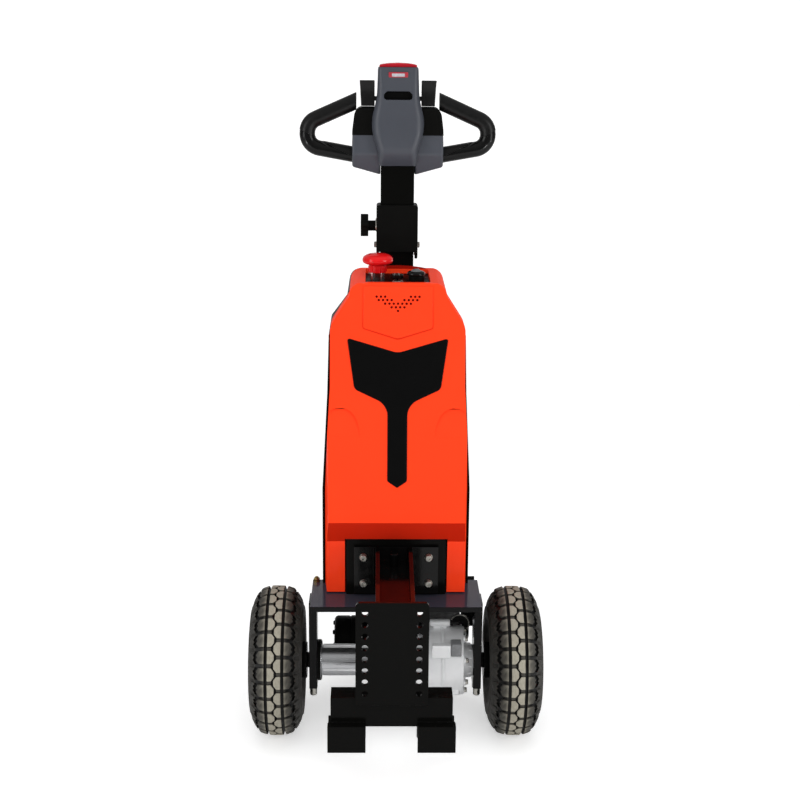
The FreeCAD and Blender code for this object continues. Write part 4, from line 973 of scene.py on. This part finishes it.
brake = Box("parking_brake")
radius = brake.half.z
half = brake.half.x
cap = Shape().turned([(-half, 1), (-half, radius), (half - 6, radius), (half - 5, radius - 1),
                      (half, radius - 2), (half, radius - 7), (half - 2, radius - 8), (half - 2, 1)],
                     brake.middle, X, 64)
cap.keep("brake_cap", STEEL, "bright_steel", replaces="parking_brake")
print("motor at", tuple(round(value) for value in motor.middle))

# %% [markdown]
# ## The moulded cover
#
# The cover is one shell: a leaning face, two flanks, an arch for the hitch and a rounded hood.  Its
# long edges are soft, and its thin rims are only broken.  Two hand pockets are scooped out of the
# face with a boolean: a cutter that is deep at the top and shallow at the bottom.

# %% Round the shell and scoop the pockets
shell = Shape("front_cover")
leaning = max((face for face in shell.bm.faces if face.normal.y < -0.9 and abs(face.normal.x) < 0.1),
              key=lambda face: face.calc_area())
face_point = leaning.calc_center_median() * METRE
face_normal = leaning.normal.copy()
print("cover face leans", round(math.degrees(math.asin(face_normal.z)), 1), "degrees")


def on_cover(x, z, lift=0.0):
    """A point on the cover's leaning face, or lifted off it."""
    y = face_point.y - (z - face_point.z) * face_normal.z / face_normal.y
    return Vector((x, y, z)) + face_normal * lift


def breadth(face):
    """About how wide a long face is, in metres."""
    return 2 * face.calc_area() / max(face.calc_perimeter(), 1e-6)


long_edges = [edge for edge in shell.bm.edges
              if edge.is_manifold and edge.calc_face_angle_signed(0) > math.radians(20)
              and min(breadth(face) for face in edge.link_faces) > mm(7)]
shell.bevel(long_edges, 8.5, 6)
print("long edges rounded:", len(long_edges))

POCKET = [(-156, 694), (-80, 694), (-81.5, 712), (-85, 724), (-90, 736), (-98, 746), (-108, 752),
          (-118, 754), (-132, 753), (-144, 748), (-156, 736)]
POCKET_FOOT = 690
POCKET_SLOPE = 4.4 / 64
for side, sign in SIDES:
    cutter = Shape().prism([on_cover(-sign * x, z, -POCKET_SLOPE * (z - POCKET_FOOT))
                            for x, z in POCKET], face_normal * 9)
    shell.carve(cutter)
shell.round_off(0.9, 2, 24).keep("cover_shell", RED, "cover_red", 28, replaces="front_cover")


# %% Raised panel, vents and black inlay
def raised_plate(points, radii, height, rim):
    """A plate on the cover's face, each corner rounded by its own radius, with a rounded rim."""
    plate = Shape()
    plate.outline([on_cover(x, z) for x, z in points])
    for vert, radius in zip(plate.bm.verts[:], radii):
        if radius:
            plate.bevel([vert], radius, 6, "VERTICES")
    plate.bm.faces.ensure_lookup_table()
    top = plate.pulled(plate.bm.faces[0], face_normal * height)
    plate.outward()
    return plate.bevel([edge for edge in plate.bm.edges if edge.verts[0] in top
                        and edge.verts[1] in top], rim, 3)


PANEL = [(-73.5, 1009), (-73.5, 921), (0, 899), (73.5, 921), (73.5, 1009)]
# Beneath the raised panel lies a thin, slightly larger plate in darker red: a painted shadow line along
# its lower edges.
PANEL_SHADOW_LINE = [(-73.5, 1000), (-75.2, 920), (0, 896.6), (75.2, 920), (73.5, 1000)]
PANEL_RADII = [0, 5, 5, 5, 0]
PANEL_LIFT = 2.4
raised_plate(PANEL, PANEL_RADII, PANEL_LIFT, 2.1).keep("hood_panel", RED, "cover_red", 40)
raised_plate(PANEL_SHADOW_LINE, PANEL_RADII, 0.35, 0.3).keep("hood_panel_painted_shadow", RED_PAINTED_SHADOW, "cover_red", 40)

VENT_ROWS = ((987, (27, 36, 45)), (980, (13.5, 22.5, 31.5, 40.5)), (972.5, (0, 9, 18, 27)),
             (965, (4.5, 13.5)), (957.5, (0,)))
# The vents are flat dark discs on the panel, not holes: painted shade stands in for the dark inside each
# hole.
vents = Shape()
for height, sides in VENT_ROWS:
    for x in sorted({sign * side for side in sides for sign in (-1, 1)}):
        vents.stack(on_cover(x, height, PANEL_LIFT + 0.06), face_normal, 2.6, 14, 0, (0.3, 0))
vents.keep("vent_holes", VENT_PAINTED_SHADE, "inlay_black")

INLAY_OUTLINE = [(-107, 901), (-91.5, 794), (-21, 761), (-21, 600), (0, 586), (21, 600),
                 (21, 761), (91.5, 794), (107, 901), (0, 870)]
inlay = raised_plate(INLAY_OUTLINE, [7, 7, 22, 3, 1.5, 3, 22, 7, 7, 9], 2.0, 1.1)
inlay.keep("inlay_plate", INLAY, "inlay_black", 40, replaces="front_inlay")
print("cover dressed")

# %% [markdown]
# ## Panels, dashboard and controls
#
# Behind the red cover stand black side shells.  On top, in a tub in the hood, sits a black
# dashboard with a battery gauge, a key switch and the emergency stop: a mushroom turned from one
# line, with a fluted collar below it so that a gloved hand can twist it free.

# %% Side shells, rear panel and deck
for node in ("side_panel_left", "side_panel_right", "rear_panel"):
    soften(node, SHELL_BLACK, "panel_black", 1.2)
soften("deck_plate", SHELL_BLACK, "panel_black", 0.8)
soften("dashboard_panel", DASH_BLACK, "dash_black", 0.6)
finish_nodes(BATTERY_GREY, "battery_block")

rear = Box("rear_panel")
rear_lean = (rear.size.y - 4) / rear.size.z
screws = Shape()
for share in (0.12, 0.35, 0.58, 0.78):
    up = share * rear.size.z
    for sign in (-1, 1):
        screws.socket_screw((sign * (150 - 14 * share), rear.high.y - rear_lean * up - 0.4,
                             rear.low.z + up), Y, 5, 3.2)
screws.keep("rear_screws", ZINC, "zinc")

dash = Box("dashboard_panel")
hood_top = Box("front_cover").high.z
BROW_STEPS = 16
arc = [(dash.high.x, hood_top - 4), (dash.low.x, hood_top - 4)]
for step in range(BROW_STEPS + 1):
    share = step / BROW_STEPS
    arc.append((dash.low.x + dash.size.x * share,
                hood_top - 1.2 + 7.5 * math.sin(math.pi * share) ** 0.7))
# The brow's darker red is painted shade.
brow = Shape().prism([Vector((x, dash.high.y + 1, z)) for x, z in arc], Y * 13)
brow.round_off(1.2, 2, 60).keep("dash_brow", RED_PAINTED_SHADE, "cover_red")

screws = Shape()
for x in (dash.low.x + 8, dash.high.x - 8):
    for y in (dash.low.y + 8, dash.high.y - 8):
        screws.socket_screw((x, y, dash.high.z), Z, 4.2, 2.6)
screws.keep("dash_screws", ZINC, "zinc")


# %% Emergency stop, key switch and battery gauge
def foot_of(box):
    """The middle of a box's underside."""
    return Vector((box.middle.x, box.middle.y, box.low.z))


stop = Box("stop_button")
foot = foot_of(stop)
radius = stop.half.x
tall = stop.size.z
mushroom = Shape().turned([(0, 1), (0, 18.5), (1, 19), (15, 19), (17, 21), (18.5, radius - 6),
                           (20.5, radius - 2), (24, radius), (29, radius), (33.5, radius - 2.4),
                           (37, radius - 7), (39.5, radius - 14), (tall - 3.4, 9), (tall - 3.2, 0.1)],
                          foot, Z, 72)
mushroom.keep("stop_mushroom", STOP_RED, "stop_red", 40, replaces="stop_button")
FLUTES = 14
flutes = Shape()
for index in range(FLUTES):
    out = Matrix.Rotation(2 * math.pi * index / FLUTES, 3, Z) @ X * 18.9
    flutes.turned([(1.5, 0.1), (1.5, 1.4), (14, 1.4), (14, 0.1)], foot + out, Z, 10)
flutes.keep("stop_flutes", STOP_RED, "stop_red")
finish_nodes(STEEL, "stop_button_stem")

gauge = Box("battery_gauge")
top = gauge.middle + Z * gauge.half.z
tall = gauge.size.z
housing = Shape().turned([(0, 1), (0, 17), (tall - 3, 17), (tall - 1, 16.4), (tall, 15.4),
                          (tall - 0.2, 13.6), (tall - 1.8, 13), (tall - 1.8, 0.1)],
                         foot_of(gauge), Z, 64)
housing.keep("gauge_housing", SATIN, "gauge_black", 40, replaces="battery_gauge")
# The grey face and the opaque grey dome over it paint the grey reflection on the gauge's glass.
glass = Shape().stack(top - Z * 1.7, Z, 12.8, 48, 0, (2, 0.8))
glass.keep("gauge_face_painted_reflection", CASTER_GREY, "gauge_black")
ticks = Shape()
for index in range(7):
    tick = Shape().block((-0.5, 8, 0), (0.5, 10.5, 0.5), 0.15, 1)
    ticks.absorb(tick, top - Z * 1.1, Matrix.Rotation(math.radians(-75 + 25 * index), 3, Z))
ticks.keep("gauge_ticks", INLAY, "gauge_black")
bezel = Shape().turned([(0, 16.2), (0.4, 19), (3, 19.6), (6, 18.6), (8, 16), (8.6, 12.6), (5, 12.2),
                        (0, 12.8)], top - X - Z * 0.4, Z, 64)
bezel.keep("gauge_bezel", TUBE_ENAMEL, "gauge_black", 40)
dome = Shape().turned([(0, 12.4), (5, 12.2), (9, 10.6), (12, 7), (13.4, 0.1)], top - X, Z, 64)
dome.keep("gauge_dome", DOME_PAINTED_REFLECTION, "gauge_black", 60)

switch = Box("key_switch")
foot = foot_of(switch)
top = switch.middle + Z * switch.half.z
barrel = Shape().turned([(0, 1), (0, 12), (3, 12), (4, 11), (6, 10), (7, 8), (7, 6.5), (6, 6), (6, 0.1)],
                        foot, Z, 48)
barrel.keep("key_barrel", ZINC, "key_black", 40, replaces="key_switch")
key = Shape().block(foot + Vector((-1, -4, 5)), foot + Vector((1, 4, 9)), 0.3)
key.block(foot + Vector((-1.6, -7.5, 8.5)), top + Vector((1.6, 7.5, -0.2)), 1.2, 3)
key.keep("key", SATIN, "key_black")
cap = Shape().turned([(0, 7), (0, 13), (1, 14), (7, 14), (8.4, 12.6), (8.4, 0.1)],
                     top - X * 2 - Z * 3, Z, 48)
cap.keep("key_cap", TUBE_ENAMEL, "key_black", 40)
ring = Shape().turned([(0, 9.6), (0.5, 9.6), (0.5, 10.8), (0, 10.8)], top - X * 2 + Z * 5.3, Z, 48)
ring.keep("key_cap_ring", ZINC, "key_black", 40)
print("controls made, stop radius", round(radius, 1))

# %% [markdown]
# ## Tiller
#
# Post, sleeve and tube are folded and welded sheet steel: post and tube in black enamel, the sleeve in
# satin black.  The clamp knob is a moulded star: the built one already has its five lobes, so it only
# needs soft edges.

# %% Post, sleeve, tube and knob
soften("tiller_post", ENAMEL, "post_black", 1.5)
soften("tiller_tube", ENAMEL, "post_black", 1.4, 3, "head")
soften("clamp_knob", SATIN, "knob_black", 1.6, 3, "tiller")
shouldered("tiller_sleeve", SATIN, "sleeve_black", 5.5, 4, 1.2, depth=10, body="tiller")
sleeve = Box("tiller_sleeve")
pin = Box("tiller_pin").middle
tilt_bolt = Shape()
for sign, side_x in ((-1, sleeve.low.x), (1, sleeve.high.x)):
    start = Vector((side_x, pin.y, pin.z))
    tilt_bolt.washer(start - X * sign * 0.2, X * sign, 7, 1.2)
    tilt_bolt.hexagon_nut(start + X * sign * 0.8, X * sign, 6.6, 4.2, 0.2)
tilt_bolt.keep("tilt_bolt", ZINC, "zinc", body="tiller", replaces="tiller_pin")
bushing = Shape().washer((sleeve.high.x - 8.2, pin.y - 12, pin.z - 16), X, 5.5, 2.2)
bushing.keep("sleeve_bushing", COPPER, "zinc", body="tiller")
knob_washer = Shape().turned([(-0.2, 15), (1.8, 14.6), (2.2, 12), (2.2, 1)],
                             Vector((sleeve.low.x, pin.y, Box("clamp_knob").middle.z)), -X, 40)
knob_washer.keep("knob_washer", ZINC, "zinc", body="tiller")
print("tiller dressed")

# %% [markdown]
# ## Tiller head
#
# The head is the most shaped piece of the machine.  Its spine is lofted: rings of points at rising
# heights, each a rounded rectangle with its own width and depth, bridged one to the next.  The side
# bodies are flat outlines pulled through the depth, turned under at the bottom by slicing planes.

# %% Loft the spine and cut its slot
tiller_y = Box("tiller_tube").middle.y


def rounded_ring(bm, height, half, front, back, corner, steps=5):
    """A rounded rectangle of edges at a height."""
    centres = ((half - corner, back - corner, 0), (-half + corner, back - corner, 1),
               (-half + corner, -front + corner, 2), (half - corner, -front + corner, 3))
    verts = []
    for x, y, quarter in centres:
        for step in range(steps + 1):
            angle = math.pi / 2 * (quarter + step / steps)
            verts.append(bm.verts.new(mm(x + corner * math.cos(angle),
                                         tiller_y + y + corner * math.sin(angle), height)))
    return [bm.edges.new((verts[index - 1], verts[index])) for index in range(len(verts))]


# Each ring: height, half its width, reach to the front and to the back, corner radius.
SPINE = [(1240, 41, 24, 25, 10), (1244, 42, 29, 28, 11), (1252, 43, 37, 32, 13),
         (1262, 43, 45, 35, 15), (1272, 43.5, 50, 37, 16), (1284, 46.5, 52, 39.5, 17),
         (1300, 52, 52, 42, 18), (1316, 56, 52, 43.5, 19), (1332, 57, 52, 44, 20),
         (1346, 56, 51.5, 44, 20), (1358, 53.5, 50, 43, 19), (1372, 49.5, 47.5, 41.5, 17),
         (1386, 46.8, 45, 40, 15), (1400, 45.6, 42.5, 39, 14), (1425, 44.8, 38.5, 37.5, 12),
         (1446, 44.2, 35, 36, 10), (1450.5, 43.4, 33.8, 35.2, 9), (1452, 41.5, 32, 33.5, 8)]
spine = Shape()
rings = [rounded_ring(spine.bm, *row) for row in SPINE]
for lower, upper in zip(rings, rings[1:]):
    bmesh.ops.bridge_loops(spine.bm, edges=lower + upper)
for end in (rings[0], rings[-1]):
    bmesh.ops.contextual_create(spine.bm, geom=end)
spine.outward()

SLOT_HEIGHT = 1392
SLOT = [(-31, 1387), (-27, 1383.5), (27, 1383.5), (31, 1387), (31, 1395), (24, 1401.5),
        (-24, 1401.5), (-31, 1395)]
slot = Shape()
slot.pulled(slot.outline([Vector((x, tiller_y - 70, z)) for x, z in SLOT]), Y * 42)
slot.bevel([edge for edge in slot.bm.edges
            if abs(edge.verts[0].co.y - edge.verts[1].co.y) > mm(1)], 3, 3)
spine.carve(slot.outward()).keep("spine_moulding", GREY, "head_grey", 32, "head", "head_spine")
print("spine rings:", len(SPINE))

# %% Slot lining, blank badge and belly switch
lining = Shape()
front = lining.pulled(lining.outline([Vector((x * 1.05, tiller_y - 28.4,
                                              SLOT_HEIGHT + (z - SLOT_HEIGHT) * 1.08))
                                      for x, z in SLOT]), Y * -15.5)
lining.outward()
bmesh.ops.scale(lining.bm, vec=(0.955, 1, 0.93), verts=front,
                space=Matrix.Translation(mm(0, 0, -SLOT_HEIGHT)))
mouth = next(face for face in lining.bm.faces if all(vert in front for vert in face.verts))
bmesh.ops.inset_region(lining.bm, faces=[mouth], thickness=mm(2.4), use_even_offset=True)
bmesh.ops.translate(lining.bm, vec=mm(0, 9, 0), verts=mouth.verts)
lining.keep("slot_lining", INLAY, "head_black", 40, "head")

for name, finish, low, high, width in (
        ("blank_badge", BADGE_RED, (-21, -1.2, -6), (21, 1.2, 6), 1.1),
        ("blank_badge_middle", BADGE_PALE, (-14, -1.6, -3.4), (14, 0, 3.4), 0.7)):
    badge = Shape().absorb(Shape().block(low, high, width), Vector((0, tiller_y - 37.2, 1436)),
                           Matrix.Rotation(math.atan2(8, 50), 3, "X"))
    badge.keep(name, finish, "head_grey", body="head")

belly = Box("belly_switch")
CROWN_LINE = [(-1, 0.0), (-1, 0.5), (-0.8, 0.72), (-0.5, 0.9), (0, 1.0), (0.5, 0.9), (0.8, 0.72),
              (1, 0.5), (1, 0.0)]
crown = Shape().prism([Vector((x * belly.half.x, belly.low.y, belly.low.z + z * belly.size.z))
                       for x, z in CROWN_LINE], Y * belly.size.y)
crown.round_off(1.6, 3, 50).keep("belly_crown", BELLY_RED, "belly_red", 40, "head", "belly_switch")

# %% Side bodies and their black insets
EAR = [(37.4, 1219), (100, 1237), (100, 1290), (99, 1318), (95, 1350), (91, 1360), (84, 1366),
       (40, 1366)]
EAR_FOOT = 1266
INSET_FOOT = 1307


def ear(sign, grow=0.0):
    """A side body: an outline pulled through the depth, turned under at its foot."""
    box = Box("head_side_bodies")
    shape = Shape()
    face = shape.outline([Vector((sign * (x + grow if x > 60 else x), box.low.y - grow, z))
                          for x, z in EAR])
    shape.pulled(face, Y * (box.size.y + 2 * grow))
    for y, way in ((box.low.y, -1), (box.high.y, 1)):
        shape.cut(Vector((0, y, EAR_FOOT)), (0, way * 0.9, -0.42))
    return shape.outward().round_off(5, 4, 25)


for side, sign in SIDES:
    ear(sign).keep("side_body_" + side, GREY, "head_grey", 32, "head", "head_side_bodies")
    inset = ear(sign, 0.7).cut(Z * INSET_FOOT, Z, False)
    inset.keep("side_inset_" + side, SATIN, "head_black", 32, "head", "head_insets")
print("side bodies made")

# %% [markdown]
# ## Paddles and hand loops
#
# The two thumb paddles turn on one pin.  Each is a hollow-faced blade: its side outline has a
# curved front and back, and is pulled through the blade's width.  The hand loops are bent tube with
# a grip moulded over the upper arm, so each is cut in two where the grip begins.


# %% Throttle paddles
def paddle(side, sign):
    """A blade with a hollow front, wider at its top, and its pin."""
    node = "throttle_paddle_" + side
    box = Box(node)
    low = box.low
    tall = box.size.z
    outer = box.high.x if sign > 0 else low.x
    inner = 51 * sign
    front = []
    back = []
    for share in (step / 8 for step in range(9)):
        hollow = 5.5 * math.sin(math.pi * share) - 3.5 * share
        height = low.z + tall * share
        front.append(Vector((inner, low.y + 4 + hollow, height)))
        back.append(Vector((inner, low.y + 16 + hollow * 0.9, height)))
    blade = Shape()
    blade.pulled(blade.outline(front + back[::-1]), X * (outer - inner))
    for vert in blade.bm.verts:
        if abs(vert.co.x - mm(outer)) < mm(1):
            share = (vert.co.z * METRE - low.z) / tall
            vert.co.x -= sign * mm(3.4) * (1 - max(0.0, 2 * share - 1) ** 1.4)
    blade.outward().round_off(1.3, 3, 45)
    blade.turned([(0, 0.1), (0, 5), (9, 5), (9, 0.1)], Vector((43 * sign, low.y + 13, low.z + 16)),
                 X * sign, 24)
    blade.keep("paddle_blade_" + side, GRIP, "paddle_black", 40, "head", node)


# %% Hand loops
def hand_loop(side, sign):
    """Lower tube and upper grip of a loop, split along a slanting line at the outer bend."""
    node = "hand_loop_" + side
    box = Box(node)
    outer = max(abs(box.low.x), abs(box.high.x))
    split = Vector((sign * (outer - 17), tiller_y, 1310))
    slant = Vector((-sign * 0.45, 0, 0.89))
    for name, upper, finish in (("grip_", True, GRIP), ("tube_", False, TUBE_ENAMEL)):
        half = Shape(node).cut(split, slant, not upper)
        if not upper:
            bmesh.ops.inset_region(half.bm, faces=half.bm.faces, thickness=0, depth=mm(-0.6))
        half.round_off(2.2, 3, 60).keep(name + side, finish, "grip_rubber", 50, "head", node)


for side, sign in SIDES:
    paddle(side, sign)
    hand_loop(side, sign)
print("paddles and loops made")

# %% [markdown]
# ## Swivel caster
#
# The small wheel behind has a solid rubber tyre on a pressed hub, between the cheeks of a bent
# fork.  Its tyre and hub are turned from lines, and the fork keeps its built shape with soft edges.

# %% Caster
soften("caster_fork", ZINC, "zinc", 1.0, 2, "caster_swivel")
soften("caster_race", ZINC, "zinc", 1.0)
caster = Box("caster_tyre")
half = caster.half.x
radius = caster.half.z


def both_sides(line):
    """A line of (along, out) points with its mirror image."""
    return line + [(-along, out) for along, out in reversed(line)]


tyre = Shape().turned(both_sides([(half - 1, 44.2), (half, 46), (half, 52), (half - 2, 57),
                                  (half - 6, 60.5), (half - 12, radius - 0.4), (3, radius)]),
                      caster.middle, X, 72)
bmesh.ops.holes_fill(tyre.bm, edges=tyre.bm.edges)
tyre.keep("caster_ring", CASTER_RUBBER, "caster_rubber", 40, "caster_wheel", "caster_tyre")
hub = Shape().turned(both_sides([(half - 0.5, 6.4), (half - 0.5, 14), (half - 3, 15), (half - 9, 17),
                                 (half - 9, 36), (half - 2, 39), (half - 0.5, 40), (half - 0.5, 44)]),
                     caster.middle, X, 60)
hub.keep("caster_disc", CASTER_GREY, "caster_grey", 40, "caster_wheel", "caster_hub")
bolt = Shape().turned([(-33, 0.1), (-33, 5.9), (33, 5.9), (33, 0.1)], caster.middle, X, 24)
for way in (X, -X):
    bolt.hexagon_nut(caster.middle + way * 33, way, 6, 4, 0.8)
bolt.keep("caster_bolt", ZINC, "zinc", body="caster_swivel", replaces="caster_axle")
print("caster radius", round(radius, 1))

# %% [markdown]
# ## Welds and small fittings
#
# A weld bead is a row of overlapping ripples.  One ripple is a small ball, and a loop lays a few
# dozen of them along a seam with a small, seeded variation in size and place.

# %% Weld beads and a nut on the cradle
chance = random.Random(7)
RIPPLE_SHARE = 0.55


def weld(shape, start, end, size, gap):
    """A bead of ripples from one point to another, with a share of bare stretches."""
    count = max(2, int((end - start).length / (size * RIPPLE_SHARE)))
    for index in range(count + 1):
        if chance.random() < gap:
            continue
        place = start.lerp(end, index / count)
        place += Vector([chance.uniform(-1, 1) for _ in range(3)]) * size * 0.08
        made = bmesh.ops.create_icosphere(shape.bm, subdivisions=1,
                                          radius=mm(size * chance.uniform(0.45, 0.6)))["verts"]
        bmesh.ops.translate(shape.bm, vec=mm(place), verts=made)


plate = Box("hitch_plate")
bar = Box("hitch_crossbar")
SADDLE_TOP = 158
SADDLE_WIDTH = 76
beads = Shape()
seam = Vector((0, plate.low.y + 1, plate.low.z - 0.5))
weld(beads, seam + X * (plate.low.x + 3), seam + X * (plate.high.x - 3), 4.2, 0.1)
seam = Vector((0, plate.high.y - 0.5, SADDLE_TOP + 0.5))
for sign, outer in ((-1, bar.low.x), (1, bar.high.x)):
    weld(beads, seam + X * (outer - sign * 3), seam + X * (outer - sign * SADDLE_WIDTH), 3.6, 0.2)
arm_back = Box("hitch_arm").high.y - 11
for x in (-49, -39, 23, 33):
    weld(beads, Vector((x, arm_back, 350)), Vector((x, arm_back, 434)), 4, 0.05)
beads.keep("weld_beads", ENAMEL, "frame_black", 60)

cradle = Box("axle_cradle")
nut = Shape().hexagon_nut((cradle.low.x + 14, cradle.high.y - 12, cradle.high.z), Z, 8, 8, 4)
nut.keep("cradle_nut", BRASS, "zinc")
print("weld ripples laid")
